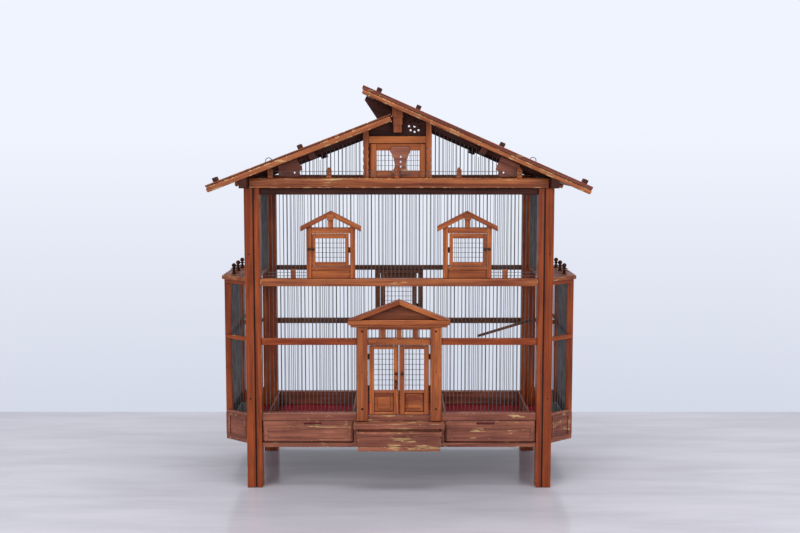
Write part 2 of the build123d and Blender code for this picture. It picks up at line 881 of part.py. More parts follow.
# ---- Wires ---------------------------------------------------------------------
doorway_places = spread(-doorway_half, doorway_half)
low_side_places = spread(doorway_half, post_inner_x)
high_side_places = spread(dormer_outer, post_inner_x)
high_middle_places = spread(-dormer_inner, dormer_inner)
dormer_places = spread(dormer_inner, dormer_outer)
dormer_head_top = dormer_head_bottom + dormer_head_height
with BuildPart() as wires_front:
    for x_side, _ in sides:
        upright_wires([(x_side * x, wire_y) for x in low_side_places], base_top, shelf_bottom)
        upright_wires([(x_side * x, wire_y) for x in high_side_places], shelf_top, post_height)
        over_places = [(x_side * x, wire_y) for x in dormer_places]
        upright_wires(over_places, dormer_head_top, post_height)
        upright_wires(over_places, shelf_top, dormer_sill_bottom)
    upright_wires([(x, wire_y) for x in doorway_places], mid_rail_top, shelf_bottom)
    upright_wires([(x, wire_y) for x in high_middle_places], shelf_top, post_height)
wires_front.part.label = "wires_front"
export_step(wires_front.part, "parts/wires_front.step")

rear_side_places = spread(rear_door_half, post_inner_x)
rear_middle_places = [(x, -wire_y) for x in spread(-rear_door_half, rear_door_half)]
rear_sill_bottom = rear_mid_rail_bottom + rear_mid_rail_height
with BuildPart() as wires_rear:
    for x_side, _ in sides:
        upright_wires([(x_side * x, -wire_y) for x in rear_side_places], floor_level, post_height)
    upright_wires(rear_middle_places, floor_level, rear_sill_bottom)
    upright_wires(rear_middle_places, rear_upper_rail_bottom, post_height)
wires_rear.part.label = "wires_rear"
export_step(wires_rear.part, "parts/wires_rear.step")

with BuildPart() as wires_bays:
    for x_side, _ in sides:
        for face in ("front", "outer", "rear"):
            upright_wires(bay_face_places(x_side, bay_wire_inset, face), floor_level, bay_head_bottom)
wires_bays.part.label = "wires_bays"
export_step(wires_bays.part, "parts/wires_bays.step")

with BuildPart() as wires_sides:
    for x_side, _ in sides:
        places = [(x_side * wire_x, y) for y in spread(-post_inner_y, post_inner_y)]
        upright_wires(places, bay_slab_top, frieze_bottom)
wires_sides.part.label = "wires_sides"
export_step(wires_sides.part, "parts/wires_sides.step")


def rafter_low(x, extra=0):
    """Height of the underside of the rafter over a place, or lower by an extra depth."""
    if x < ridge_board_x:
        return left_under(x, left_barge_depth + gable_rail_height + extra)
    return right_under(x, right_barge_depth + gable_rail_height + extra)


def gable_wires(places, y):
    """Wires of one gable triangle, from the cornice to the sloping rafter."""
    for x in places:
        near_purlin = abs(abs(x) - purlin_x + purlin_size / 2) < purlin_size
        top = rafter_low(x, purlin_size - gable_rail_height if near_purlin else 0) - 0.7
        if top > cornice_top + wire_spacing:
            rod(wire_radius, (x, y, cornice_top), (x, y, top))


gable_reach = purlin_x + 90
gable_side_places = [-x for x in spread(-gable_left, gable_reach)] + spread(gable_right, gable_reach)
with BuildPart() as wires_gables:
    for y_side, _ in ends:
        gable_wires(gable_side_places, y_side * rail_y)
    upright_wires([(x, rail_y) for x in spread(gable_left, gable_right)], cornice_top, tie_bottom + 5)
wires_gables.part.label = "wires_gables"
export_step(wires_gables.part, "parts/wires_gables.step")


# ---- Hinges and hooks ----------------------------------------------------------
def hinge_tab(axis_x, axis_y, toward, inward, z0, z1):
    """A knuckle with the tab that joins it to its plate."""
    rod(knuckle_radius, (axis_x, axis_y, z0), (axis_x, axis_y, z1))
    bar(axis_x, axis_x + toward * hinge_gap / 2, axis_y, axis_y + inward * (knuckle_radius + 0.5), z0, z1)


def hinge_leaf(axis_x, axis_y, toward, inward, z):
    """The plate of a hinge on the edge that faces the axis."""
    edge_x = axis_x + toward * hinge_gap / 2
    bar(
        edge_x - toward * hinge_plate, edge_x,
        axis_y + inward * (knuckle_radius + 0.3), axis_y + inward * 11,
        z, z + hinge_height,
    )


def fixed_hinge(axis_x, axis_y, frame_side, inward, z):
    """The frame's half of a hinge: plate, two outer knuckles and the pin."""
    third = hinge_height / 3
    hinge_leaf(axis_x, axis_y, frame_side, inward, z)
    hinge_tab(axis_x, axis_y, frame_side, inward, z, z + third - 0.2)
    hinge_tab(axis_x, axis_y, frame_side, inward, z + 2 * third + 0.2, z + hinge_height)
    rod(hinge_pin_radius, (axis_x, axis_y, z), (axis_x, axis_y, z + hinge_height))


def moving_hinge(axis_x, axis_y, frame_side, inward, z):
    """The door's half of a hinge: plate and middle knuckle, bored for the pin."""
    third = hinge_height / 3
    hinge_leaf(axis_x, axis_y, -frame_side, inward, z)
    hinge_tab(axis_x, axis_y, -frame_side, inward, z + third, z + 2 * third)
    rod(
        hinge_pin_radius + pin_clearance, (axis_x, axis_y, z), (axis_x, axis_y, z + hinge_height),
        mode=Mode.SUBTRACT,
    )


def latch_hook(pivot_x, z, face_y, reach):
    """A flat hook on a pivot; the notch at its tip has room for the pin as it lifts off."""
    tip_x = pivot_x + reach
    toward = math.copysign(1, reach)
    back = face_y - 2.5
    notch_half = hook_pin_radius + hook_slack
    lip = notch_half + 2.4
    with BuildSketch(Plane.XZ.offset(-back)) as outline:
        with Locations((pivot_x, z)):
            Circle(hook_eye_radius)
        with Locations((pivot_x + reach / 2, z + 2)):
            Rectangle(abs(reach), 3)
        with Locations((tip_x, z)):
            Rectangle(2 * lip, 8)
        with Locations((tip_x - toward * hook_lead / 2, z - 4)):
            Rectangle(2 * notch_half + hook_lead, 8 + 2 * notch_half, mode=Mode.SUBTRACT)
        with Locations((pivot_x, z)):
            Circle(hook_screw_radius + pin_clearance, mode=Mode.SUBTRACT)
    extrude(outline.sketch, amount=hook_thickness)


def hook_screw(pivot_x, z, face_y):
    """The round-headed screw that a hook turns on."""
    head_y = face_y - 2.5 - hook_thickness - 0.2
    rod(hook_screw_radius, (pivot_x, face_y, z), (pivot_x, head_y, z))
    rod(hook_eye_radius - 0.8, (pivot_x, head_y, z), (pivot_x, head_y - 1.5, z))


def knob(x, y, z, outward):
    """A small turned pull on a short stem."""
    rod(2.2, (x, y, z), (x, y + outward * 8, z))
    with Locations((x, y + outward * 11, z)):
        Sphere(5)


# ---- Portico and steps ---------------------------------------------------------
pilaster_front = rail_front - 8
pilaster_back = rail_back
pediment_front = pilaster_front - 8
pediment_board = 15
pediment_low = pilaster_top + portico_cornice_height
pediment_rise = (pediment_apex - pediment_low) / cornice_half
transom_bar = 9
with BuildPart() as portico:
    for x_side, _ in sides:
        bar(
            x_side * doorway_half, x_side * portico_outer,
            pilaster_front, pilaster_back, base_top, pilaster_top - glue_line,
        )
        bar(
            x_side * doorway_half, x_side * portico_outer,
            pilaster_front, rail_front, rim_bottom, base_top,
        )
    inner = doorway_half - glue_line
    bar(-inner, inner, rail_front - 4, shelf_back, lintel_bottom, lintel_bottom + lintel_height)
    bar(-inner, inner, rail_front - 2, pilaster_back, transom_top, pilaster_top - glue_line)
    for x in (-54, 0, 54):
        bar(
            x - 8.5, x + 8.5, rail_front - 2, pilaster_back - 4,
            lintel_bottom + lintel_height + glue_line, transom_top - glue_line,
        )
portico.part.label = "portico"
export_step(portico.part, "parts/portico.step")

with BuildPart() as portico_pediment:
    bar(
        -cornice_half, cornice_half, pediment_front, pilaster_back, pilaster_top + 8, pediment_low,
    )
    bar(
        8 - cornice_half, cornice_half - 8, pediment_front + 4, pilaster_back,
        pilaster_top, pilaster_top + 8,
    )
    for x_side, _ in sides:
        fret(
            [
                (x_side * glue_line, pediment_apex), (x_side * cornice_half, pediment_low + glue_line),
                (x_side * (cornice_half - pediment_board / pediment_rise), pediment_low + glue_line),
                (x_side * glue_line, pediment_apex - pediment_board),
            ],
            pediment_front - 2, pilaster_back,
        )
    field = cornice_half - (pediment_board + 1) / pediment_rise
    fret(
        [
            (-field, pediment_low + glue_line), (field, pediment_low + glue_line),
            (0, pediment_low + field * pediment_rise),
        ],
        pilaster_front + 6, pilaster_back,
    )
portico_pediment.part.label = "portico_pediment"
export_step(portico_pediment.part, "parts/portico_pediment.step")

with BuildPart() as entrance_steps:
    for half, reach, low, high in (
        (135, step_reach, base_bottom - 2, 148),
        (135, step_reach - 2, 148 + glue_line, 184),
        (139, step_reach + 1, 184 + glue_line, 196),
        (132, step_reach - 22, 196 + glue_line, 205),
        (149, step_reach - 12, 205 + glue_line, 222),
    ):
        bar(-half, half, rail_front - reach, rail_front, low, high)
entrance_steps.part.label = "entrance_steps"
export_step(entrance_steps.part, "parts/entrance_steps.step")


# ---- Trays ---------------------------------------------------------------------
tray_back = rail_front + tray_length
slot_x = 285
for x_side, x_name in sides:
    with BuildPart() as tray:
        wall_low = board_top + tray_running_gap
        inner_front = rail_front + tray_front_thickness
        bar(
            x_side * tray_inner, x_side * tray_outer, rail_front, inner_front,
            tray_front_bottom, tray_front_top,
        )
        bar(
            x_side * (slot_x - 30), x_side * (slot_x + 30), rail_front, inner_front, 212, 219,
            mode=Mode.SUBTRACT,
        )
        for x in (tray_inner + 1, tray_outer - 1 - tray_wall):
            bar(
                x_side * x, x_side * (x + tray_wall), inner_front + glue_line, tray_back,
                wall_low, tray_front_top - 1,
            )
        between = (
            x_side * (tray_inner + 1 + tray_wall + glue_line),
            x_side * (tray_outer - 1 - tray_wall - glue_line),
        )
        bar(*between, tray_back - tray_wall, tray_back, wall_low, tray_front_top - 1)
        bar(
            *between, inner_front + glue_line, tray_back - tray_wall - glue_line,
            floor_bottom, floor_level,
        )
        with BuildSketch(Plane.XZ.offset(glue_line - rail_front)) as moulding:
            with Locations((x_side * (tray_inner + tray_outer) / 2, (tray_front_bottom + 209) / 2)):
                Rectangle(tray_outer - tray_inner - 8, 209 - tray_front_bottom)
                Rectangle(tray_outer - tray_inner - 30, 209 - tray_front_bottom - 18, mode=Mode.SUBTRACT)
        extrude(moulding.sketch, amount=3)
    tray.part.label = f"tray_{x_name}"
    export_step(tray.part, f"parts/tray_{x_name}.step")


# ---- Main doors ----------------------------------------------------------------
leaf_inner = leaf_gap / 2
leaf_outer = doorway_half - hinge_gap
leaf_bottom = sill_top + 2
leaf_top = lintel_bottom - leaf_top_gap
leaf_front = rail_front
leaf_back = leaf_front + leaf_thickness
main_axis_x = doorway_half - hinge_gap / 2
main_hinges = (325, 430)
knob_z = 384
main_hook_z = 372
leaf_low_rail = 9
for x_side, x_name in sides:
    with BuildPart() as leaf:
        x0, x1 = sorted((x_side * leaf_inner, x_side * leaf_outer))
        ledged_frame(x0, x1, leaf_front, leaf_back, leaf_bottom, leaf_top, leaf_stile, leaf_low_rail, 11)
        inner = (x0 + leaf_stile + glue_line, x1 - leaf_stile - glue_line)
        bar(*inner, leaf_front, leaf_back, panel_rail_top, mesh_bottom)
        panel = (leaf_bottom + leaf_low_rail + glue_line, panel_rail_top - glue_line)
        bar(*inner, leaf_front + 6, leaf_back - 2, *panel)
        bar(inner[0] + 11, inner[1] - 11, leaf_front + 2, leaf_front + 6, panel[0] + 10, panel[1] - 14)
    leaf.part.label = f"door_leaf_{x_name}"
    export_step(leaf.part, f"parts/door_leaf_{x_name}.step")
    with BuildPart() as leaf_iron:
        welded_mesh(*inner, leaf_front + 6, mesh_bottom, leaf_top - 11)
        for z in main_hinges:
            moving_hinge(x_side * main_axis_x, leaf_front, x_side, 1, z)
        knob(x_side * (leaf_inner + leaf_stile / 2), leaf_front, knob_z, -1)
        if x_side < 0:
            hook_screw(-leaf_inner - leaf_stile / 2, main_hook_z - 14, leaf_front)
    leaf_iron.part.label = f"door_iron_{x_name}"
    export_step(leaf_iron.part, f"parts/door_iron_{x_name}.step")

main_hook_x = -leaf_inner - leaf_stile / 2
with BuildPart() as main_hook:
    with BuildSketch(Plane.XZ.offset(2.5 - leaf_front)) as hook_outline:
        with Locations((main_hook_x, main_hook_z - 14)):
            Circle(hook_eye_radius)
        with Locations((main_hook_x, main_hook_z - 28)):
            Rectangle(3, 22)
        with Locations((main_hook_x - 1.5, main_hook_z - 38)):
            Rectangle(6, 3)
        with Locations((main_hook_x, main_hook_z - 14)):
            Circle(hook_screw_radius + pin_clearance, mode=Mode.SUBTRACT)
    extrude(hook_outline.sketch, amount=hook_thickness)
main_hook.part.label = "main_hook"
export_step(main_hook.part, "parts/main_hook.step")


# ---- Dormers -------------------------------------------------------------------
dormer_front = rail_front - 4
dormer_back = wire_y - wire_radius - 2
dormer_door_back = dormer_front + leaf_thickness
dormer_half = dormer_width / 2
dormer_rise = 0.51
dormer_cap = dormer_board + 2
dormer_sill_top = dormer_sill_bottom + dormer_sill_height


def dormer_under(offset):
    """Height of the underside of a dormer's roof, at a distance from its middle."""
    return dormer_apex - dormer_cap - offset * dormer_rise


with BuildPart() as dormers:
    for x_side, _ in sides:
        middle = x_side * dormer_centre
        opening = dormer_half - dormer_post
        for hand in (-1, 1):
            fret(
                [
                    (middle + hand * opening, shelf_top),
                    (middle + hand * dormer_half, shelf_top),
                    (middle + hand * dormer_half, dormer_under(dormer_half)),
                    (middle + hand * opening, dormer_under(opening)),
                ],
                dormer_front, dormer_back,
            )
            fret(
                [
                    (middle + hand * glue_line, dormer_apex),
                    (middle + hand * dormer_eave, dormer_apex - dormer_eave * dormer_rise),
                    (middle + hand * dormer_eave, dormer_under(dormer_eave)),
                    (middle + hand * glue_line, dormer_under(0)),
                ],
                dormer_front - 8, dormer_back,
            )
        for low, high in (
            (dormer_sill_bottom, dormer_sill_top), (dormer_head_bottom, dormer_head_top),
        ):
            bar(
                middle - dormer_half, middle + dormer_half,
                dormer_back + glue_line, shelf_back, low, high,
            )
            bar(
                middle - opening + glue_line, middle + opening - glue_line,
                dormer_front, dormer_back + glue_line, low, high,
            )
        bar(
            middle - opening + glue_line, middle + opening - glue_line, dormer_front + 4, dormer_back,
            shelf_top, dormer_sill_bottom - glue_line,
        )
        fret(
            [
                (middle - 8, dormer_head_top + glue_line), (middle + 8, dormer_head_top + glue_line),
                (middle + 8, dormer_under(8) - glue_line), (middle, dormer_under(0) - glue_line),
                (middle - 8, dormer_under(8) - glue_line),
            ],
            dormer_front - 4, dormer_back,
        )
        with BuildSketch(Plane.XZ.offset(8 + glue_line - dormer_front)) as king_block:
            with Locations((middle, dormer_apex - 19)):
                RectangleRounded(24, 22, 5)
        extrude(king_block.sketch, amount=5)
dormers.part.label = "dormers"
export_step(dormers.part, "parts/dormers.step")

dormer_door_bottom = dormer_sill_top + 2
dormer_door_top = dormer_head_bottom - 1.5
dormer_hinge_z = 782
dormer_hook_z = 793
dormer_axis_x = dormer_centre - dormer_half + dormer_post + hinge_gap / 2
dormer_door_inner = dormer_axis_x + hinge_gap / 2
dormer_door_outer = dormer_centre + dormer_half - dormer_post - 1.5
dormer_pivot_x = dormer_door_outer - dormer_door_stile / 2
dormer_pin_x = dormer_centre + dormer_half - dormer_post / 2
for x_side, x_name in sides:
    with BuildPart() as dormer_door:
        x0, x1 = sorted((x_side * dormer_door_inner, x_side * dormer_door_outer))
        ledged_frame(
            x0, x1, dormer_front, dormer_door_back, dormer_door_bottom, dormer_door_top,
            dormer_door_stile, 13, 15,
        )
    dormer_door.part.label = f"dormer_door_{x_name}"
    export_step(dormer_door.part, f"parts/dormer_door_{x_name}.step")
    with BuildPart() as dormer_iron:
        welded_mesh(
            x0 + dormer_door_stile + glue_line, x1 - dormer_door_stile - glue_line,
            dormer_front + 6, dormer_door_bottom + 13, dormer_door_top - 15,
        )
        moving_hinge(x_side * dormer_axis_x, dormer_front, -x_side, 1, dormer_hinge_z)
        hook_screw(x_side * dormer_pivot_x, dormer_hook_z, dormer_front)
    dormer_iron.part.label = f"dormer_iron_{x_name}"
    export_step(dormer_iron.part, f"parts/dormer_iron_{x_name}.step")
    with BuildPart() as dormer_hook:
        reach = x_side * (dormer_pin_x - dormer_pivot_x)
        latch_hook(x_side * dormer_pivot_x, dormer_hook_z, dormer_front, reach)
    dormer_hook.part.label = f"dormer_hook_{x_name}"
    export_step(dormer_hook.part, f"parts/dormer_hook_{x_name}.step")


# ---- Rear door -----------------------------------------------------------------
rear_face = rear_rail_back
rear_opening = rear_door_half - rear_jamb
rear_deep = rear_rail_front - 6
with BuildPart() as rear_door_frame:
    for x_side, _ in sides:
        bar(
            x_side * rear_opening, x_side * rear_door_half, rear_rail_front, rear_face,
            rear_sill_bottom, rear_upper_rail_bottom,
        )
    inner = rear_opening - glue_line
    bar(-inner, inner, rear_rail_front, rear_face, rear_sill_bottom, rear_door_bottom)
    bar(-inner, inner, rear_rail_front, rear_face, rear_door_top, rear_upper_rail_bottom)
    for low, high in (
        (rear_sill_bottom, rear_door_bottom), (rear_door_top, rear_upper_rail_bottom),
    ):
        bar(
            -rear_door_half, rear_door_half, rear_deep, rear_rail_front - glue_line, low, high,
        )
rear_door_frame.part.label = "rear_door_frame"
export_step(rear_door_frame.part, "parts/rear_door_frame.step")

rear_axis_x = rear_opening - hinge_gap / 2
rear_low = rear_door_bottom + 2
rear_high = rear_door_top - 2
rear_left = 1.5 - rear_opening
rear_right = rear_axis_x - hinge_gap / 2
rear_hinges = (530, 620)
with BuildPart() as rear_door:
    ledged_frame(
        rear_left, rear_right, rear_face - leaf_thickness, rear_face,
        rear_low, rear_high, rear_door_stile, rear_door_stile, rear_door_stile,
    )
rear_door.part.label = "rear_door"
export_step(rear_door.part, "parts/rear_door.step")

with BuildPart() as rear_door_iron:
    welded_mesh(
        rear_left + rear_door_stile + glue_line, rear_right - rear_door_stile - glue_line,
        rear_face - 8, rear_low + rear_door_stile, rear_high - rear_door_stile,
    )
    for z in rear_hinges:
        moving_hinge(rear_axis_x, rear_face, 1, -1, z)
    knob(rear_left + rear_door_stile / 2, rear_face, (rear_low + rear_high) / 2, 1)
rear_door_iron.part.label = "rear_door_iron"
export_step(rear_door_iron.part, "parts/rear_door_iron.step")


# ---- Fixed ironwork, perches and feeders ---------------------------------------
pin_reach = 2.5 + hook_thickness + 0.8
with BuildPart() as fixed_iron:
    for x_side, _ in sides:
        for z in main_hinges:
            fixed_hinge(x_side * main_axis_x, leaf_front, x_side, 1, z)
        fixed_hinge(x_side * dormer_axis_x, dormer_front, -x_side, 1, dormer_hinge_z)
        pin_x = x_side * dormer_pin_x
        rod(
            hook_pin_radius,
            (pin_x, dormer_front, dormer_hook_z), (pin_x, dormer_front - pin_reach, dormer_hook_z),
        )
    for z in rear_hinges:
        fixed_hinge(rear_axis_x, rear_face, 1, -1, z)
fixed_iron.part.label = "fixed_iron"
export_step(fixed_iron.part, "parts/fixed_iron.step")

perch_radius = 5
perch_end = rail_y - wire_radius - 2.6
bay_perch_z = bay_mid_rail_bottom + 60
with BuildPart() as perches:
    rod(perch_radius, (294, perch_end, 430), (442, -perch_end, 560))
    for x_side, _ in sides:
        perch_x = x_side * (side + 30)
        reach_y = bay_half_length + 23.6
        rod(perch_radius, (perch_x, -reach_y, bay_perch_z), (perch_x, reach_y, bay_perch_z))
perches.part.label = "perches"
export_step(perches.part, "parts/perches.step")

trough_inner = side + 14
trough_outer = side + 64
trough_half = 75
trough_wall = 4
trough_height = 40
with BuildPart() as feeders:
    for x_side, _ in sides:
        low = floor_level
        high = floor_level + trough_height
        for x in (trough_inner, trough_outer - trough_wall):
            bar(x_side * x, x_side * (x + trough_wall), -trough_half, trough_half, low, high)
        between = (
            x_side * (trough_inner + trough_wall + glue_line),
            x_side * (trough_outer - trough_wall - glue_line),
        )
        for y in (-trough_half, trough_half - trough_wall):
            bar(*between, y, y + trough_wall, low, high)
        bar(
            *between, trough_wall + glue_line - trough_half, trough_half - trough_wall - glue_line,
            low, low + trough_wall,
        )
feeders.part.label = "feeders"
export_step(feeders.part, "parts/feeders.step")
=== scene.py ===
"""Finishes for a wooden, chalet-shaped aviary on four legs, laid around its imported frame."""

import json
import math

import bmesh
import bpy
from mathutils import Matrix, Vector, noise


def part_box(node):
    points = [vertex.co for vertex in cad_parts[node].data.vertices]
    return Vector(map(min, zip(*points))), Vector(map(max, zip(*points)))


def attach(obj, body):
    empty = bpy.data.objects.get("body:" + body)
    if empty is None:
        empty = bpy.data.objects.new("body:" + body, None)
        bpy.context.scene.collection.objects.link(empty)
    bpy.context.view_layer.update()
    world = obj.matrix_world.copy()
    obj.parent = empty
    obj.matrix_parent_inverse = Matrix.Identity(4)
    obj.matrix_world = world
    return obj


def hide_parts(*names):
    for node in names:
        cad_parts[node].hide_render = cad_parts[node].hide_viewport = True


bl_info = {
    "name": "Chalet Aviary",
    "version": (1, 0, 0),
    "blender": (4, 5, 0),
    "location": "View3D > Sidebar > Aviary",
    "description": "Dresses the frame of a wooden aviary with varnished wood, wire and ironwork",
    "category": "Object",
}

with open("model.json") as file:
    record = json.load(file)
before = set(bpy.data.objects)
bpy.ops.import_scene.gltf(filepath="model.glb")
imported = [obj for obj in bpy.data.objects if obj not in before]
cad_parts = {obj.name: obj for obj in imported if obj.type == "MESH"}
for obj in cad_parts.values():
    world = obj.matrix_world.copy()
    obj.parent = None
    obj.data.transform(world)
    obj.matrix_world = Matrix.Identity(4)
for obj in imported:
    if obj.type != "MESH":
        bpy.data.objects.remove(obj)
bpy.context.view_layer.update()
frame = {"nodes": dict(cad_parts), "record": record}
body_of_node = {
    node: body
    for body, nodes in frame["record"]["behaviour"]["bodies"].items()
    for node in nodes
}

WIRED = (
    "wires_front", "wires_rear", "wires_bays", "wires_sides", "wires_gables",
    "railing_wires", "gable_window_mesh", "roof_handles",
)
IRONED = (
    "door_iron_left", "door_iron_right", "dormer_iron_left", "dormer_iron_right",
    "rear_door_iron", "fixed_iron", "main_hook", "dormer_hook_left", "dormer_hook_right",
)

# Easing of the wood's edges, in metres: corners nearer than MERGE_REACH are one, faces flatter
# than FLAT_ANGLE join, and edges sharper than CORNER_ANGLE get an arris, by at most a share of
# the member's thickness and in three steps from ROUND_FROM up.
MERGE_REACH = 0.00002
FLAT_ANGLE = math.radians(0.6)
CORNER_ANGLE = math.radians(50)
SMOOTH_ANGLE = math.radians(34)
WIDEST_SHARE = 0.22
ROUND_FROM = 0.002
LEAST_ARRIS = 0.00005

# Grain: how far its streaks and its figure are stretched, and how far apart members lie in it.
STREAK_STRETCH = (7, 260, 260)
FIGURE_STRETCH = (2.2, 34, 34)
GRAIN_SPREAD = 9.0
TONE_SPREAD = 0.9
# DEEP_SHARE gives the darkest colour, used for cloudy stains and for the painted shade in hollows;
# HOLLOW_REACH is how far that painted shade reaches.
DEEP_SHARE = 0.45
HOLLOW_REACH = 0.007

RUST_ON_WIRE = (0.12, 0.055, 0.03, 1.0)
RUST_ON_IRON = (0.11, 0.045, 0.025, 1.0)
ZINC_DARK = (0.22, 0.225, 0.23, 1.0)
ZINC_LIGHT = (0.48, 0.48, 0.46, 1.0)
UNDER_RED = (0.2, 0.1, 0.07)

# The studio: floor, air, camera, and each lamp's name, place, width in metres and watts.
FLOOR_NEAR, FLOOR_FAR, FLOOR_HALF = -3.2, 0.83, 4.5
FLOOR_LIGHT = (0.575, 0.56, 0.61, 1.0)
FLOOR_DARK = (0.47, 0.455, 0.50, 1.0)
AIR_TINT, AIR_STRENGTH = (0.86, 0.90, 1.0, 1.0), 0.55
WALL_LOW, WALL_HIGH = (0.665, 0.70, 0.81, 1.0), (0.87, 0.905, 1.0, 1.0)
WALL_FROM, WALL_TO = -0.22, 0.02
CAMERA_PLACE = (0.003, -3.847, 1.104)
CAMERA_TILT = math.radians(84.17)
CAMERA_LENS, CAMERA_SENSOR = 50, 36
CAGE_MIDDLE = (0, 0, 0.6)
LAMPS = (
    ("key_light", (-2.2, -3.4, 3.0), 2.6, 62),
    ("fill_light", (2.6, -3.0, 2.0), 2.4, 32),
    ("top_light", (0.2, 0.0, 4.2), 3.4, 150),
)

# The two middle purlins stand between these distances from the cage's middle plane.
PURLIN_FROM, PURLIN_TO = 0.25, 0.35
ROOM_FOR_REEDS = 0.003


def colour(name, default, words):
    """A colour that the user may change."""
    return bpy.props.FloatVectorProperty(
        name=name, description=words, default=default, size=3, min=0, max=1, subtype="COLOR",
    )


def length(name, default, words):
    """A length in metres that the user may change."""
    return bpy.props.FloatProperty(
        name=name, description=words, default=default, min=0, unit="LENGTH",
    )


def share(name, default, words):
    """A share from none to all that the user may change."""
    return bpy.props.FloatProperty(
        name=name, description=words, default=default, min=0, max=1, subtype="FACTOR",
    )


class AviaryFinish(bpy.types.PropertyGroup):
    """Colours of the wood, wire and iron."""

    varnish_light: colour("Varnish, light grain", (0.560, 0.115, 0.016), "Light streaks of the varnish")
    varnish_dark: colour("Varnish, dark grain", (0.190, 0.026, 0.005), "Dark streaks of the varnish")
    base_light: colour("Base, light grain", (0.480, 0.165, 0.090), "Light streaks of the faded base")
    base_dark: colour("Base, dark grain", (0.190, 0.052, 0.034), "Dark streaks of the faded base")
    bare_light: colour("Bare wood", (0.760, 0.470, 0.210), "Wood where the varnish has worn off")
    aged_light: colour("Aged wood, light", (0.400, 0.160, 0.072), "Light streaks of unvarnished wood")
    aged_dark: colour("Aged wood, dark", (0.130, 0.046, 0.022), "Dark streaks of unvarnished wood")
    stain_light: colour("Stain, light", (0.120, 0.026, 0.012), "Light streaks of the dark stain")
    stain_dark: colour("Stain, dark", (0.030, 0.008, 0.005), "Dark streaks of the dark stain")
    floor_red: colour("Red floor", (0.560, 0.014, 0.026), "Red paint of the floors")
    wire_grey: colour("Wire", (0.150, 0.150, 0.155), "Galvanised wire")
    iron_black: colour("Iron", (0.030, 0.024, 0.022), "Blackened ironwork")


class AviarySizes(bpy.types.PropertyGroup):
    """Sizes of the small finishing work."""

    arris: length("Arris", 0.0012, "Width of the softened edges of the wood")
    peg_radius: length("Peg radius", 0.0042, "Radius of the pegs and filled nail holes")
    nail_radius: length("Nail radius", 0.0016, "Radius of the small nail heads")
    moulding: length("Moulding", 0.007, "Width of the frames on the bays' base panels")
    reed_width: length("Reed width", 0.0028, "Width of one reed along the right roof edge")
    cleat: length("Cleat", 0.03, "Length of the cleats on the roof's front and rear edges")
    purlin_end: length("Purlin end", 0.1, "Length of the purlin ends under the roof")
    plank_width: length("Plank width", 0.08, "Width of one roof board")
    plank_joint: length("Plank joint", 0.0012, "Open joint between two roof boards")
    wear: share("Wear", 0.5, "How much of the varnish is worn along the edges")


# ---- Material building ---------------------------------------------------------


def settings():
    """The colours and the sizes that the panel shows."""
    return bpy.context.scene.aviary_finish, bpy.context.scene.aviary_sizes


class Finish:
    """One material under construction, with short ways to add and join its nodes."""

    def __init__(self, name, roughness, metallic=0.0):
        self.material = bpy.data.materials.new(name)
        self.material.use_nodes = True
        self.tree = self.material.node_tree
        self.shader = self.tree.nodes["Principled BSDF"]
        self.shader.inputs["Roughness"].default_value = roughness
        self.shader.inputs["Metallic"].default_value = metallic

    def node(self, kind, **values):
        """Adds a node and sets its plain properties."""
        made = self.tree.nodes.new("ShaderNode" + kind)
        for key, value in values.items():
            setattr(made, key, value)
        return made

    def join(self, source, target):
        """Links an output to an input, or sets the input to a constant."""
        if isinstance(source, bpy.types.NodeSocket):
            self.tree.links.new(source, target)
        else:
            target.default_value = source

    def place(self, source, scale):
        """Stretches coordinates before a pattern reads them."""
        mapping = self.node("Mapping")
        self.join(source, mapping.inputs["Vector"])
        mapping.inputs["Scale"].default_value = scale
        return mapping.outputs["Vector"]

    def noise(self, where, scale, detail=4.0, roughness=0.55, distortion=0.0):
        """Cloudy noise from 0 to 1."""
        made = self.node("TexNoise")
        self.join(where, made.inputs["Vector"])
        made.inputs["Scale"].default_value = scale
        made.inputs["Detail"].default_value = detail
        made.inputs["Roughness"].default_value = roughness
        made.inputs["Distortion"].default_value = distortion
        return made.outputs["Fac"]

    def remap(self, value, low, high, to_low=0.0, to_high=1.0):
        """Stretches a range of values to another, with a smooth step."""
        made = self.node("MapRange", interpolation_type="SMOOTHSTEP")
        self.join(value, made.inputs["Value"])
        made.inputs["From Min"].default_value = low
        made.inputs["From Max"].default_value = high
        made.inputs["To Min"].default_value = to_low
        made.inputs["To Max"].default_value = to_high
        return made.outputs["Result"]

    def calculate(self, operation, first, second):
        """A calculation on two values."""
        made = self.node("Math", operation=operation)
        self.join(first, made.inputs[0])
        self.join(second, made.inputs[1])
        return made.outputs["Value"]

    def mix(self, share_of_second, first, second):
        """One colour laid over another."""
        made = self.node("Mix", data_type="RGBA")
        self.join(share_of_second, made.inputs[0])
        self.join(first, made.inputs[6])
        self.join(second, made.inputs[7])
        return made.outputs[2]

    def attribute(self, name):
        """A value that the softened pieces carry."""
        return self.node("Attribute", attribute_name=name)

    def surface(self, tint, gloss):
        """Joins the colour and the roughness to the shader."""
        self.join(tint, self.shader.inputs["Base Color"])
        self.join(gloss, self.shader.inputs["Roughness"])

    def bump(self, height, strength, distance):
        """Relief too fine for the mesh."""
        made = self.node("Bump")
        made.inputs["Strength"].default_value = strength
        made.inputs["Distance"].default_value = distance
        self.join(height, made.inputs["Height"])
        self.join(made.outputs["Normal"], self.shader.inputs["Normal"])


def rgba(tint):
    """A colour with full opacity."""
    return (*tint, 1.0)


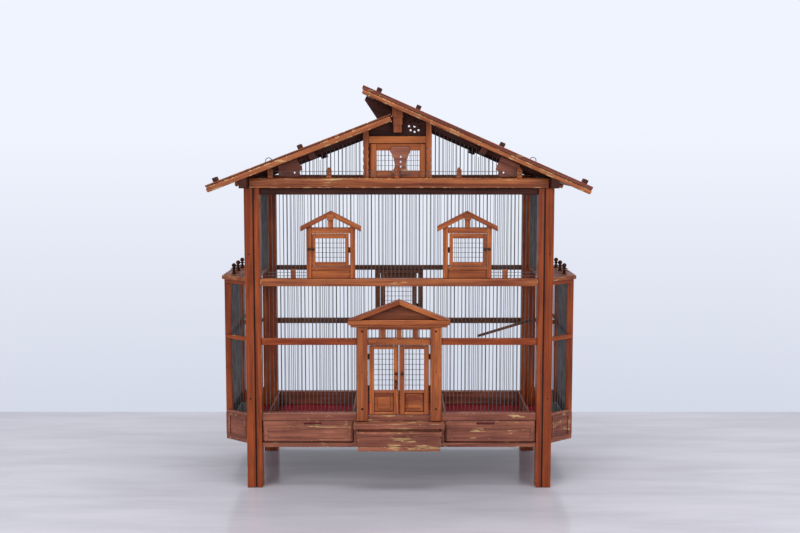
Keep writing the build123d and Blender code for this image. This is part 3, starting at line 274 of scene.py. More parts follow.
def wood(name, light, dark, roughness, coat, bare=None, edge_wear=0.0, patches=None, grime_and_shade=0.5):
    """Wood whose grain runs along each member.

    bare is the colour under the finish, edge_wear how much of the softened edges shows it,
    patches (stretch, threshold) adds larger bare places, and the last argument darkens the wood
    in cloudy stains and, as painted shade, in the hollows and the joints between members.
    """
    made = Finish(name, roughness)
    grain = made.attribute("grain").outputs["Vector"]
    where = made.node("TexCoord").outputs["Object"]
    streaks = made.noise(
        made.place(grain, STREAK_STRETCH), scale=1.0, detail=6.0, roughness=0.62, distortion=0.4,
    )
    figure = made.noise(
        made.place(grain, FIGURE_STRETCH), scale=1.0, detail=3.0, roughness=0.5, distortion=1.6,
    )
    clouds = made.noise(where, scale=9.0, detail=4.0, roughness=0.6)
    fine = made.calculate("MULTIPLY", streaks, 0.45)
    shade = made.calculate("ADD", fine, made.calculate("MULTIPLY", figure, 0.55))
    tint = made.mix(made.remap(shade, 0.34, 0.66), rgba(dark), rgba(light))
    tone = made.attribute("tone").outputs["Fac"]
    tint = made.mix(made.remap(tone, 0.0, 1.0, 0.0, 0.42), tint, rgba(dark))
    deep = rgba([part * DEEP_SHARE for part in dark])
    tint = made.mix(made.remap(clouds, 0.35, 0.72, 0.0, 0.7 * grime_and_shade), tint, deep)
    gloss = made.remap(clouds, 0.3, 0.7, roughness - 0.08, roughness + 0.14)
    if bare:
        chips = made.noise(where, scale=46.0, detail=5.0, roughness=0.7)
        broad = made.noise(where, scale=7.0, detail=2.0, roughness=0.5)
        edge = made.attribute("arris").outputs["Fac"]
        bare_from = 0.66 - 0.16 * edge_wear
        loss = made.calculate("MULTIPLY", edge, made.remap(chips, bare_from, bare_from + 0.07))
        if patches:
            stretch, threshold = patches
            torn = made.noise(
                made.place(where, stretch), scale=1.0, detail=5.0, roughness=0.72, distortion=0.3,
            )
            torn = made.calculate("MULTIPLY", torn, made.remap(broad, 0.3, 0.62, 0.72, 1.08))
            loss = made.calculate("MAXIMUM", loss, made.remap(torn, threshold, threshold + 0.035))
        grey_bare = rgba([part * 0.62 for part in bare])
        faded = made.mix(made.remap(streaks, 0.35, 0.7), grey_bare, rgba(bare))
        tint = made.mix(loss, tint, faded)
        gloss = made.calculate("ADD", gloss, made.calculate("MULTIPLY", loss, 0.3))
    # Painted shade: ambient occlusion darkens the colour in the hollows and in the joints between
    # members.
    hollow = made.node("AmbientOcclusion", samples=8)
    hollow.inputs["Distance"].default_value = HOLLOW_REACH
    painted_shade = made.remap(hollow.outputs["AO"], 0.35, 0.92, 1.4 * grime_and_shade, 0.0)
    tint = made.mix(painted_shade, tint, deep)
    made.surface(tint, gloss)
    made.shader.inputs["Coat Weight"].default_value = coat
    made.shader.inputs["Coat Roughness"].default_value = 0.22
    made.shader.inputs["Specular IOR Level"].default_value = 0.28
    relief = made.calculate("ADD", streaks, made.calculate("MULTIPLY", clouds, 0.6))
    made.bump(relief, strength=0.35, distance=0.0006)
    return made.material


def wire_metal(name, tint):
    """Dull galvanised wire with darker tarnish along it."""
    made = Finish(name, roughness=0.5, metallic=0.35)
    where = made.node("TexCoord").outputs["Object"]
    tarnish = made.noise(where, scale=24.0, detail=3.0)
    rust = made.noise(where, scale=6.0, detail=2.0)
    dull = rgba([part * 0.5 for part in tint])
    grey = made.mix(made.remap(tarnish, 0.3, 0.7), dull, rgba(tint))
    made.surface(
        made.mix(made.remap(rust, 0.6, 0.75, 0.0, 0.6), grey, RUST_ON_WIRE),
        made.remap(tarnish, 0.2, 0.8, 0.35, 0.6),
    )
    made.bump(tarnish, strength=0.2, distance=0.0002)
    return made.material


def iron_metal(name, tint):
    """Blackened iron with rust in it."""
    made = Finish(name, roughness=0.55, metallic=0.7)
    where = made.node("TexCoord").outputs["Object"]
    scale = made.noise(where, scale=180.0, detail=4.0)
    made.surface(
        made.mix(made.remap(scale, 0.4, 0.75, 0.0, 0.8), rgba(tint), RUST_ON_IRON),
        made.remap(scale, 0.3, 0.7, 0.4, 0.7),
    )
    made.bump(scale, strength=0.4, distance=0.0003)
    return made.material


def zinc_metal(name):
    """Dull folded zinc sheet with a faint spangle."""
    made = Finish(name, roughness=0.5, metallic=0.85)
    where = made.node("TexCoord").outputs["Object"]
    spangle = made.node("TexVoronoi")
    made.join(where, spangle.inputs["Vector"])
    spangle.inputs["Scale"].default_value = 90.0
    cloudy = made.noise(where, scale=20.0, detail=4.0)
    made.surface(
        made.mix(made.remap(cloudy, 0.3, 0.7), ZINC_DARK, ZINC_LIGHT),
        made.remap(spangle.outputs["Distance"], 0.0, 0.8, 0.35, 0.6),
    )
    made.bump(cloudy, strength=0.25, distance=0.0004)
    return made.material


def tinted(tint, factors):
    """A colour with each of its parts scaled."""
    return tuple(min(part * factor, 1.0) for part, factor in zip(tint, factors))


# Wooden finishes: the pair of colours, what scales their red, green and blue, and the rest
# of what wood() takes. added_wear goes on top of the wear along edges that the user sets, and
# a finish without it shows no bare wood.
WOODS = {
    "varnish": dict(family="varnish", roughness=0.42, coat=0.12, added_wear=0.0),
    "fair": dict(
        family="varnish", scaled=(1.22, 1.75, 2.9), roughness=0.4, coat=0.15, added_wear=0.0,
    ),
    "trim": dict(
        family="varnish", scaled=(1.08, 1.65, 3.4), roughness=0.45, coat=0.12, added_wear=0.4,
        patches=((7, 45, 120), 0.62),
    ),
    "worn": dict(
        family="base", roughness=0.5, coat=0.15, added_wear=0.2, patches=((9, 60, 60), 0.625),
    ),
    "step": dict(
        family="base", roughness=0.52, coat=0.1, added_wear=0.4, patches=((8, 55, 90), 0.585),
    ),
    # The dark stain also stands as painted shade on the front gable panel.
    "dark": dict(family="stain", roughness=0.65, coat=0.0),
    # The plug finish colours the pegs and, as painted shade, the post grooves and the tray's finger
    # slot.
    "plug": dict(family="stain", scaled=(0.6, 0.6, 0.6), roughness=0.7, coat=0.0),
    # The roof finish also stands as painted shade on the pediment's recessed field.
    "roof": dict(
        family="varnish", scaled=(0.6, 0.85, 1.6), roughness=0.55, coat=0.08, added_wear=-0.25,
        patches=((9, 9, 30), 0.72),
    ),
    "reed": dict(
        family="base", scaled=(0.85, 0.75, 0.75), roughness=0.45, coat=0.2, added_wear=0.0,
        patches=((5, 40, 90), 0.62),
    ),
    "bare": dict(family="aged", roughness=0.7, coat=0.0, grime_and_shade=0.6),
}


def finish(key):
    """The named finish, made the first time it is asked for."""
    if key in bpy.data.materials:
        return bpy.data.materials[key]
    colours, sizes = settings()
    if key in WOODS:
        made = dict(WOODS[key])
        family, scaled = made.pop("family"), made.pop("scaled", (1, 1, 1))
        added_wear = made.pop("added_wear", None)
        light, dark = (
            tinted(getattr(colours, f"{family}_{end}"), scaled) for end in ("light", "dark")
        )
        if added_wear is not None:
            made.update(bare=tuple(colours.bare_light), edge_wear=sizes.wear + added_wear)
        return wood(key, light, dark, **made)
    if key == "red":
        red = tuple(colours.floor_red)
        return wood(
            key, red, tinted(red, (DEEP_SHARE,) * 3), roughness=0.6, coat=0.0,
            bare=UNDER_RED, edge_wear=0.4, patches=((30, 30, 30), 0.66),
        )
    if key == "wire":
        return wire_metal(key, tuple(colours.wire_grey))
    if key == "iron":
        return iron_metal(key, tuple(colours.iron_black))
    return zinc_metal("zinc")


# ---- Mesh building -------------------------------------------------------------


def islands(mesh):
    """The connected members of a bmesh, each as a list of vertices."""
    unseen = set(mesh.verts)
    found = []
    for start in mesh.verts:
        if start not in unseen:
            continue
        unseen.discard(start)
        member, front = [], [start]
        while front:
            here = front.pop()
            member.append(here)
            for edge in here.link_edges:
                other = edge.other_vert(here)
                if other in unseen:
                    unseen.discard(other)
                    front.append(other)
        found.append(member)
    return found


def thickness(member):
    """The smallest side of the box round a member."""
    spans = []
    for axis in range(3):
        places = [vertex.co[axis] for vertex in member]
        spans.append(max(places) - min(places))
    return min(spans)


def lay_grain(mesh, seed):
    """Gives each member coordinates along its own length, and its own tone."""
    grain = mesh.verts.layers.float_vector.new("grain")
    tone = mesh.verts.layers.float.new("tone")
    for number, member in enumerate(islands(mesh)):
        edges = {edge for vertex in member for edge in vertex.link_edges}
        longest = max(edges, key=lambda edge: edge.calc_length())
        along = (longest.verts[1].co - longest.verts[0].co).normalized()
        side = along.orthogonal().normalized()
        upward = along.cross(side)
        chance = Vector(
            [noise.noise(Vector((seed + 0.37, number * 1.71, axis * 5.3))) for axis in range(3)]
        )
        offset = chance * GRAIN_SPREAD
        for vertex in member:
            at = vertex.co
            vertex[grain] = Vector((at.dot(along), at.dot(side), at.dot(upward))) + offset
            vertex[tone] = min(max(0.5 + TONE_SPREAD * chance.x, 0.0), 1.0)


def eased_mesh(name, source, arris):
    """A copy of a mesh with its members merged, their edges eased and their grain laid."""
    mesh = bmesh.new()
    mesh.from_mesh(source)
    bmesh.ops.remove_doubles(mesh, verts=mesh.verts, dist=MERGE_REACH)
    bmesh.ops.dissolve_limit(
        mesh, angle_limit=FLAT_ANGLE, verts=mesh.verts, edges=mesh.edges, delimit=set(),
    )
    eased = mesh.faces.layers.float.new("arris")
    for member in islands(mesh):
        edges = {edge for vertex in member for edge in vertex.link_edges}
        corners = [
            edge for edge in edges
            if len(edge.link_faces) == 2 and edge.is_convex
            and edge.calc_face_angle(0.0) > CORNER_ANGLE
        ]
        width = min(arris, WIDEST_SHARE * thickness(member))
        steps = 3 if width > ROUND_FROM else 1
        if corners and width > LEAST_ARRIS:
            bevelled = bmesh.ops.bevel(
                mesh, geom=corners, offset=width, segments=steps, profile=0.5, affect="EDGES",
                clamp_overlap=True,
            )
            for face in bevelled["faces"]:
                face[eased] = 1.0
    lay_grain(mesh, len(name))
    made = bpy.data.meshes.new(name)
    mesh.to_mesh(made)
    mesh.free()
    made.shade_smooth()
    made.set_sharp_from_angle(angle=SMOOTH_ANGLE)
    return made


def dress(node, key, roundness=1.0, source=None):
    """Puts a softened copy of a wooden node in its place, with a finish."""
    _, sizes = settings()
    source = source or frame["nodes"][node].data
    mesh = eased_mesh(node + "_finished", source, sizes.arris * roundness)
    mesh.materials.append(finish(key))
    piece = add_piece(mesh, body_of_node[node])
    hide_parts(node)
    return piece


def paint(piece, key, chosen):
    """Gives the chosen faces of a piece another finish."""
    piece.data.materials.append(finish(key))
    last = len(piece.data.materials) - 1
    for face in piece.data.polygons:
        if chosen(face):
            face.material_index = last


def stub_ends(node, length_kept, chosen):
    """A node's mesh in which each chosen cross member is two stubs, at the front and the rear."""
    mesh = bmesh.new()
    mesh.from_mesh(frame["nodes"][node].data)
    bmesh.ops.remove_doubles(mesh, verts=mesh.verts, dist=MERGE_REACH)
    for member in islands(mesh):
        if not chosen(sum((vertex.co for vertex in member), Vector()) / len(member)):
            continue
        low = min(vertex.co.y for vertex in member)
        high = max(vertex.co.y for vertex in member)
        middle = (low + high) / 2
        faces = {face for vertex in member for face in vertex.link_faces}
        rear = bmesh.ops.duplicate(mesh, geom=list(faces | set(member)))
        for vertex in member:
            if vertex.co.y > middle:
                vertex.co.y = low + length_kept
        for vertex in rear["geom"]:
            if isinstance(vertex, bmesh.types.BMVert) and vertex.co.y < middle:
                vertex.co.y = high - length_kept
    made = bpy.data.meshes.new(node + "_stubs")
    mesh.to_mesh(made)
    mesh.free()
    return made


def coat_node(node, key):
    """Gives a CAD node that stays as it is a finish."""
    shown = frame["nodes"][node]
    shown.data.materials.clear()
    shown.data.materials.append(finish(key))


def add_piece(mesh, body):
    """Links a finished mesh and says what it rides on."""
    piece = bpy.data.objects.new(mesh.name, mesh)
    bpy.context.scene.collection.objects.link(piece)
    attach(piece, body)
    return piece


# ---- What repeats: pegs, nails, planks -----------------------------------------


class Tree:
    """A Geometry Nodes tree under construction, with named inputs."""

    def __init__(self, name, inputs):
        self.group = bpy.data.node_groups.new(name, "GeometryNodeTree")
        face = self.group.interface
        face.new_socket("Geometry", in_out="INPUT", socket_type="NodeSocketGeometry")
        for label, kind, value in inputs:
            made = face.new_socket(label, in_out="INPUT", socket_type="NodeSocket" + kind)
            if value is not None:
                made.default_value = value
        face.new_socket("Geometry", in_out="OUTPUT", socket_type="NodeSocketGeometry")
        self.start = self.group.nodes.new("NodeGroupInput")
        self.end = self.group.nodes.new("NodeGroupOutput")

    def node(self, kind, **values):
        """Adds a node and sets its plain properties."""
        made = self.group.nodes.new(kind)
        for key, value in values.items():
            setattr(made, key, value)
        return made

    def join(self, source, target):
        """Links an output to an input."""
        self.group.links.new(source, target)

    def close(self, geometry):
        """Realizes the copies, gives them their material and ends the tree."""
        real = self.node("GeometryNodeRealizeInstances")
        painted = self.node("GeometryNodeSetMaterial")
        self.join(geometry, real.inputs["Geometry"])
        self.join(real.outputs["Geometry"], painted.inputs["Geometry"])
        self.join(self.start.outputs["Material"], painted.inputs["Material"])
        self.join(painted.outputs["Geometry"], self.end.inputs["Geometry"])
        return self.group


def stud_tree():
    """Low round heads set on points, each facing along its own "facing" direction."""
    if "studs" in bpy.data.node_groups:
        return bpy.data.node_groups["studs"]
    tree = Tree("studs", [
        ("Radius", "Float", 0.004), ("Proud", "Float", 0.001), ("Seed", "Int", 7),
        ("Material", "Material", None),
    ])
    disc = tree.node("GeometryNodeMeshCone")
    disc.inputs["Vertices"].default_value = 12
    head = tree.node("ShaderNodeMath", operation="MULTIPLY")
    head.inputs[1].default_value = 0.72
    tree.join(tree.start.outputs["Radius"], disc.inputs["Radius Bottom"])
    tree.join(tree.start.outputs["Radius"], head.inputs[0])
    tree.join(head.outputs["Value"], disc.inputs["Radius Top"])
    tree.join(tree.start.outputs["Proud"], disc.inputs["Depth"])
    facing = tree.node("GeometryNodeInputNamedAttribute", data_type="FLOAT_VECTOR")
    facing.inputs["Name"].default_value = "facing"
    turn = tree.node("FunctionNodeAlignEulerToVector", axis="Z")
    tree.join(facing.outputs["Attribute"], turn.inputs["Vector"])
    chance = tree.node("FunctionNodeRandomValue", data_type="FLOAT")
    chance.inputs[2].default_value = 0.82
    chance.inputs[3].default_value = 1.12
    tree.join(tree.start.outputs["Seed"], chance.inputs["Seed"])
    copies = tree.node("GeometryNodeInstanceOnPoints")
    tree.join(tree.start.outputs["Geometry"], copies.inputs["Points"])
    tree.join(disc.outputs["Mesh"], copies.inputs["Instance"])
    tree.join(turn.outputs["Rotation"], copies.inputs["Rotation"])
    tree.join(chance.outputs[1], copies.inputs["Scale"])
    return tree.close(copies.outputs["Instances"])


def plank_tree():
    """Planks laid side by side across a slope, with open joints between them."""
    if "planks" in bpy.data.node_groups:
        return bpy.data.node_groups["planks"]
    tree = Tree("planks", [
        ("Count", "Int", 5), ("Start", "Vector", None), ("Step", "Vector", None),
        ("Turn", "Vector", None), ("Size", "Vector", None), ("Material", "Material", None),
    ])
    row = tree.node("GeometryNodeMeshLine", mode="OFFSET")
    tree.join(tree.start.outputs["Count"], row.inputs["Count"])
    tree.join(tree.start.outputs["Start"], row.inputs["Start Location"])
    tree.join(tree.start.outputs["Step"], row.inputs["Offset"])
    board = tree.node("GeometryNodeMeshCube")
    tree.join(tree.start.outputs["Size"], board.inputs["Size"])
    copies = tree.node("GeometryNodeInstanceOnPoints")
    tree.join(row.outputs["Mesh"], copies.inputs["Points"])
    tree.join(board.outputs["Mesh"], copies.inputs["Instance"])
    tree.join(tree.start.outputs["Turn"], copies.inputs["Rotation"])
    return tree.close(copies.outputs["Instances"])


def grown(name, group, values, places, facings=()):
    """Runs a tree on an object's points and returns the result as a plain mesh."""
    seeds = bpy.data.meshes.new(name + "_places")
    seeds.from_pydata([tuple(place) for place in places], [], [])
    if facings:
        facing = seeds.attributes.new("facing", "FLOAT_VECTOR", "POINT")
        for item, direction in zip(facing.data, facings):
            item.vector = direction
    carrier = bpy.data.objects.new(name + "_carrier", seeds)
    bpy.context.scene.collection.objects.link(carrier)
    modifier = carrier.modifiers.new(name, "NODES")
    modifier.node_group = group
    sockets = {
        item.name: item.identifier for item in group.interface.items_tree
        if item.item_type == "SOCKET" and item.in_out == "INPUT"
    }
    for label, value in values.items():
        modifier[sockets[label]] = value
    bpy.context.view_layer.update()
    evaluated = carrier.evaluated_get(bpy.context.evaluated_depsgraph_get())
    mesh = bpy.data.meshes.new_from_object(evaluated)
    carrier.modifiers.remove(modifier)
    bpy.data.objects.remove(carrier)
    if not mesh.polygons:
        raise RuntimeError(f"{name}: the tree made nothing")
    mesh.name = name
    return mesh


def studs(name, places, facing, radius, proud, key, body):
    """One piece of round heads on places that all face the same way."""
    mesh = grown(
        name, stud_tree(),
        {"Radius": radius, "Proud": proud, "Seed": 7, "Material": finish(key)},
        places, [facing] * len(places),
    )
    return add_piece(mesh, body)


def reed_tree():
    """Round reeds side by side along a straight edge."""
    if "reeds" in bpy.data.node_groups:
        return bpy.data.node_groups["reeds"]
    tree = Tree("reeds", [
        ("Count", "Int", 4), ("Start", "Vector", None), ("End", "Vector", None),
        ("Step", "Vector", None), ("Radius", "Float", 0.0015), ("Material", "Material", None),
    ])
    row = tree.node("GeometryNodeMeshLine", mode="OFFSET")
    tree.join(tree.start.outputs["Count"], row.inputs["Count"])
    tree.join(tree.start.outputs["Step"], row.inputs["Offset"])
    edge = tree.node("GeometryNodeCurvePrimitiveLine")
    tree.join(tree.start.outputs["Start"], edge.inputs["Start"])
    tree.join(tree.start.outputs["End"], edge.inputs["End"])
    profile = tree.node("GeometryNodeCurvePrimitiveCircle")
    profile.inputs["Resolution"].default_value = 10
    tree.join(tree.start.outputs["Radius"], profile.inputs["Radius"])
    sweep = tree.node("GeometryNodeCurveToMesh")
    sweep.inputs["Fill Caps"].default_value = True
    tree.join(edge.outputs["Curve"], sweep.inputs["Curve"])
    tree.join(profile.outputs["Curve"], sweep.inputs["Profile Curve"])
    copies = tree.node("GeometryNodeInstanceOnPoints")
    tree.join(row.outputs["Mesh"], copies.inputs["Points"])
    tree.join(sweep.outputs["Mesh"], copies.inputs["Instance"])
    return tree.close(copies.outputs["Instances"])


# ---- Places worked out from the frame ------------------------------------------


def slope_of(node):
    """The lowest tip and the ridge of a roof plane's upper face, on its front edge."""
    points = [vertex.co for vertex in frame["nodes"][node].data.vertices]
    ridge = max(points, key=lambda point: point.z)
    outward = 1 if abs(min(p.x for p in points)) < max(p.x for p in points) else -1
    tip = max(points, key=lambda point: point.x * outward + point.z * 0.0001)
    return Vector((tip.x, 0, tip.z)), Vector((ridge.x, 0, ridge.z))


def slope_directions(node):
    """Along the slope towards the ridge, and straight up out of it."""
    tip, ridge = slope_of(node)
    along = (ridge - tip).normalized()
    out = Vector((-along.z, 0, along.x))
    return along, out if out.z > 0 else -out


# ---- Operators -----------------------------------------------------------------


class AviaryStage(bpy.types.Operator):
    """Lay the pale floor and set the lights and the camera."""

    bl_idname = "aviary.stage"
    bl_label = "Floor, lights and camera"

    def execute(self, context):
        floor_mesh = bpy.data.meshes.new("studio_floor")
        near, far, half = FLOOR_NEAR, FLOOR_FAR, FLOOR_HALF
        floor_mesh.from_pydata(
            [(-half, near, 0), (half, near, 0), (half, far, 0), (-half, far, 0)],
            [], [(0, 1, 2, 3)],
        )
        floor = bpy.data.objects.new("studio_floor", floor_mesh)
        context.scene.collection.objects.link(floor)
        made = Finish("studio_floor", roughness=0.4)
        where = made.node("TexCoord").outputs["Object"]
        scuffs = made.noise(
            made.place(where, (0.9, 5.0, 1.0)), scale=1.6, detail=6.0, roughness=0.6, distortion=0.3,
        )
        made.surface(
            made.mix(made.remap(scuffs, 0.3, 0.75), FLOOR_LIGHT, FLOOR_DARK),
            made.remap(scuffs, 0.2, 0.8, 0.10, 0.2),
        )
        floor_mesh.materials.append(made.material)

        self.air(context)
        context.scene.view_settings.view_transform = "Standard"
        for name, place, size, power in LAMPS:
            self.lamp(context, name, place, size, power)

        lens = bpy.data.cameras.new("studio_camera")
        lens.lens = CAMERA_LENS
        lens.sensor_width = CAMERA_SENSOR
        camera = bpy.data.objects.new("studio_camera", lens)
        camera.location = CAMERA_PLACE
        camera.rotation_euler = (CAMERA_TILT, 0, 0)
        context.scene.collection.objects.link(camera)
        context.scene.camera = camera
        return {"FINISHED"}

    def air(self, context):
        """Soft light from all round, with a bright wall of air behind the object."""
        world = bpy.data.worlds.new("studio_air")
        world.use_nodes = True
        tree = world.node_tree
        light = tree.nodes["Background"]
        light.inputs["Color"].default_value = AIR_TINT
        light.inputs["Strength"].default_value = AIR_STRENGTH
        wall = tree.nodes.new("ShaderNodeBackground")
        wall.inputs["Strength"].default_value = 1.0
        direction = tree.nodes.new("ShaderNodeTexCoord")
        parts = tree.nodes.new("ShaderNodeSeparateXYZ")
        height = tree.nodes.new("ShaderNodeMapRange")
        height.inputs["From Min"].default_value = WALL_FROM
        height.inputs["From Max"].default_value = WALL_TO
        shade = tree.nodes.new("ShaderNodeMix")
        shade.data_type = "RGBA"
        shade.inputs[6].default_value = WALL_LOW
        shade.inputs[7].default_value = WALL_HIGH
        ray = tree.nodes.new("ShaderNodeLightPath")
        either = tree.nodes.new("ShaderNodeMixShader")
        tree.links.new(direction.outputs["Generated"], parts.inputs["Vector"])
        tree.links.new(parts.outputs["Z"], height.inputs["Value"])
        tree.links.new(height.outputs["Result"], shade.inputs[0])
        tree.links.new(shade.outputs[2], wall.inputs["Color"])
        tree.links.new(ray.outputs["Is Camera Ray"], either.inputs["Fac"])
        tree.links.new(light.outputs["Background"], either.inputs[1])
        tree.links.new(wall.outputs["Background"], either.inputs[2])
        tree.links.new(either.outputs["Shader"], tree.nodes["World Output"].inputs["Surface"])
        context.scene.world = world

    def lamp(self, context, name, place, size, power):
        """A large soft lamp that faces the middle of the cage."""
        light = bpy.data.lights.new(name, "AREA")
        light.shape = "SQUARE"
        light.size = size
        light.energy = power
        made = bpy.data.objects.new(name, light)
        made.location = place
        sight = Vector(CAGE_MIDDLE) - Vector(place)
        made.rotation_euler = sight.to_track_quat("-Z", "Y").to_euler()
        context.scene.collection.objects.link(made)


class AviaryPosts(bpy.types.Operator):
    """Finish the corner posts, the front rails, the shelf and the plates on top."""

    bl_idname = "aviary.posts"
    bl_label = "Posts and rails"

    def execute(self, context):
        posts = dress("corner_posts", "varnish")
        # Painted shade: the sloping walls of the grooves down the posts take the dark plug finish for
        # the shade in them.
        paint(posts, "plug", self.is_groove)
        dress("front_mid_rails", "varnish")
        dress("balcony_shelf", "trim", 2.5)
        dress("railing_posts", "fair")
        dress("top_plates", "dark")
        dress("rear_rails", "bare")
        return {"FINISHED"}

    def is_groove(self, face):
        """True for the sloping walls of the grooves down the posts."""
        low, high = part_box("corner_posts")
        corner_band, post_band = 0.01, 0.045
        slanted = min(abs(face.normal.x), abs(face.normal.y)) > 0.3
        inset = min(face.center.x - low.x, high.x - face.center.x)
        return slanted and inset > corner_band and abs(face.center.x) > high.x - post_band


class AviaryBase(bpy.types.Operator):
    """Finish the base: its rails, panels, steps, trays and floors."""

    bl_idname = "aviary.base"
    bl_label = "Base, steps and trays"

    def execute(self, context):
        for node in ("base_front_rails", "base_bay_panels", "base_back_board"):
            dress(node, "worn")
        dress("entrance_steps", "step")
        dress("base_bottom_board", "bare")
        dress("fixed_floors", "red")
        for side in ("left", "right"):
            self.tray("tray_" + side)
        return {"FINISHED"}

    def tray(self, node):
        """A tray with a faded front and a red floor."""
        piece = dress(node, "worn")
        low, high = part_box(node)
        front_depth, floor_band = 0.02, 0.03
        inside, floor_top = low.y + front_depth, low.z + floor_band
        paint(piece, "red", lambda face: (
            face.center.y > inside and face.normal.z > 0.7 and face.center.z < floor_top
        ))
        # Painted shade: the inner faces of the finger slot take the dark plug finish for the shade
        # inside it.
        slot_bottom, slot_top = 0.013, 0.002
        slot_low, slot_high = high.z - slot_bottom, high.z - slot_top
        paint(piece, "plug", lambda face: (
            face.center.y < inside and slot_low < face.center.z < slot_high
            and abs(face.normal.y) < 0.5
        ))


class AviaryBays(bpy.types.Operator):
    """Finish the bays at both ends with their balconies and finials."""

    bl_idname = "aviary.bays"
    bl_label = "End bays"

    def execute(self, context):
        dress("bay_corner_posts", "varnish")
        dress("bay_rails", "varnish")
        dress("bay_balconies", "trim")
        dress("bay_finials", "dark")
        self.mouldings()
        return {"FINISHED"}

    def mouldings(self):
        """Thin raised frames on the faces of the bays' base panels."""
        _, sizes = settings()
        low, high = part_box("base_bay_panels")
        end_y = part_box("bay_corner_posts")[1].y
        inner_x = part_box("corner_posts")[1].x
        mesh = bmesh.new()
        for end in (-1, 1):
            outline = [
                Vector((end * inner_x, low.y, 0)), Vector((end * high.x, -end_y, 0)),
                Vector((end * high.x, end_y, 0)), Vector((end * inner_x, high.y, 0)),
            ]
            for start, finish_at in zip(outline, outline[1:]):
                self.face_frame(mesh, start, finish_at, low.z, high.z, sizes.moulding)
        bmesh.ops.recalc_face_normals(mesh, faces=mesh.faces)
        plain = bpy.data.meshes.new("bay_mouldings")
        mesh.to_mesh(plain)
        mesh.free()
        made = eased_mesh("bay_mouldings_finished", plain, sizes.arris)
        made.materials.append(finish("worn"))
        add_piece(made, "root")

    def face_frame(self, mesh, start, end, bottom, top, width):
        """A raised rectangular frame on one upright face, seen from outside."""
        along = (end - start).normalized()
        out = Vector((along.y, -along.x, 0))
        if out.dot(start + end) < 0:
            out = -out
        reach = (end - start).length
        margin, foot_margin, proud = 0.011, 0.013, 0.0025
        sides = (margin, reach - margin)
        heights = (bottom + foot_margin, top - margin)
        rings = []
        for inset in (0.0, width):
            places = (
                (sides[0] + inset, heights[0] + inset), (sides[1] - inset, heights[0] + inset),
                (sides[1] - inset, heights[1] - inset), (sides[0] + inset, heights[1] - inset),
            )
            for lift in (0.0, proud):
                rings.append([
                    mesh.verts.new(start + along * across + out * lift + Vector((0, 0, height)))
                    for across, height in places
                ])
        outer_back, outer_front, inner_back, inner_front = rings
        for first, second in (
            (outer_back, outer_front), (outer_front, inner_front),
            (inner_front, inner_back), (inner_back, outer_back),
        ):
            for corner in range(4):
                after = (corner + 1) % 4
                mesh.faces.new((first[corner], first[after], second[after], second[corner]))


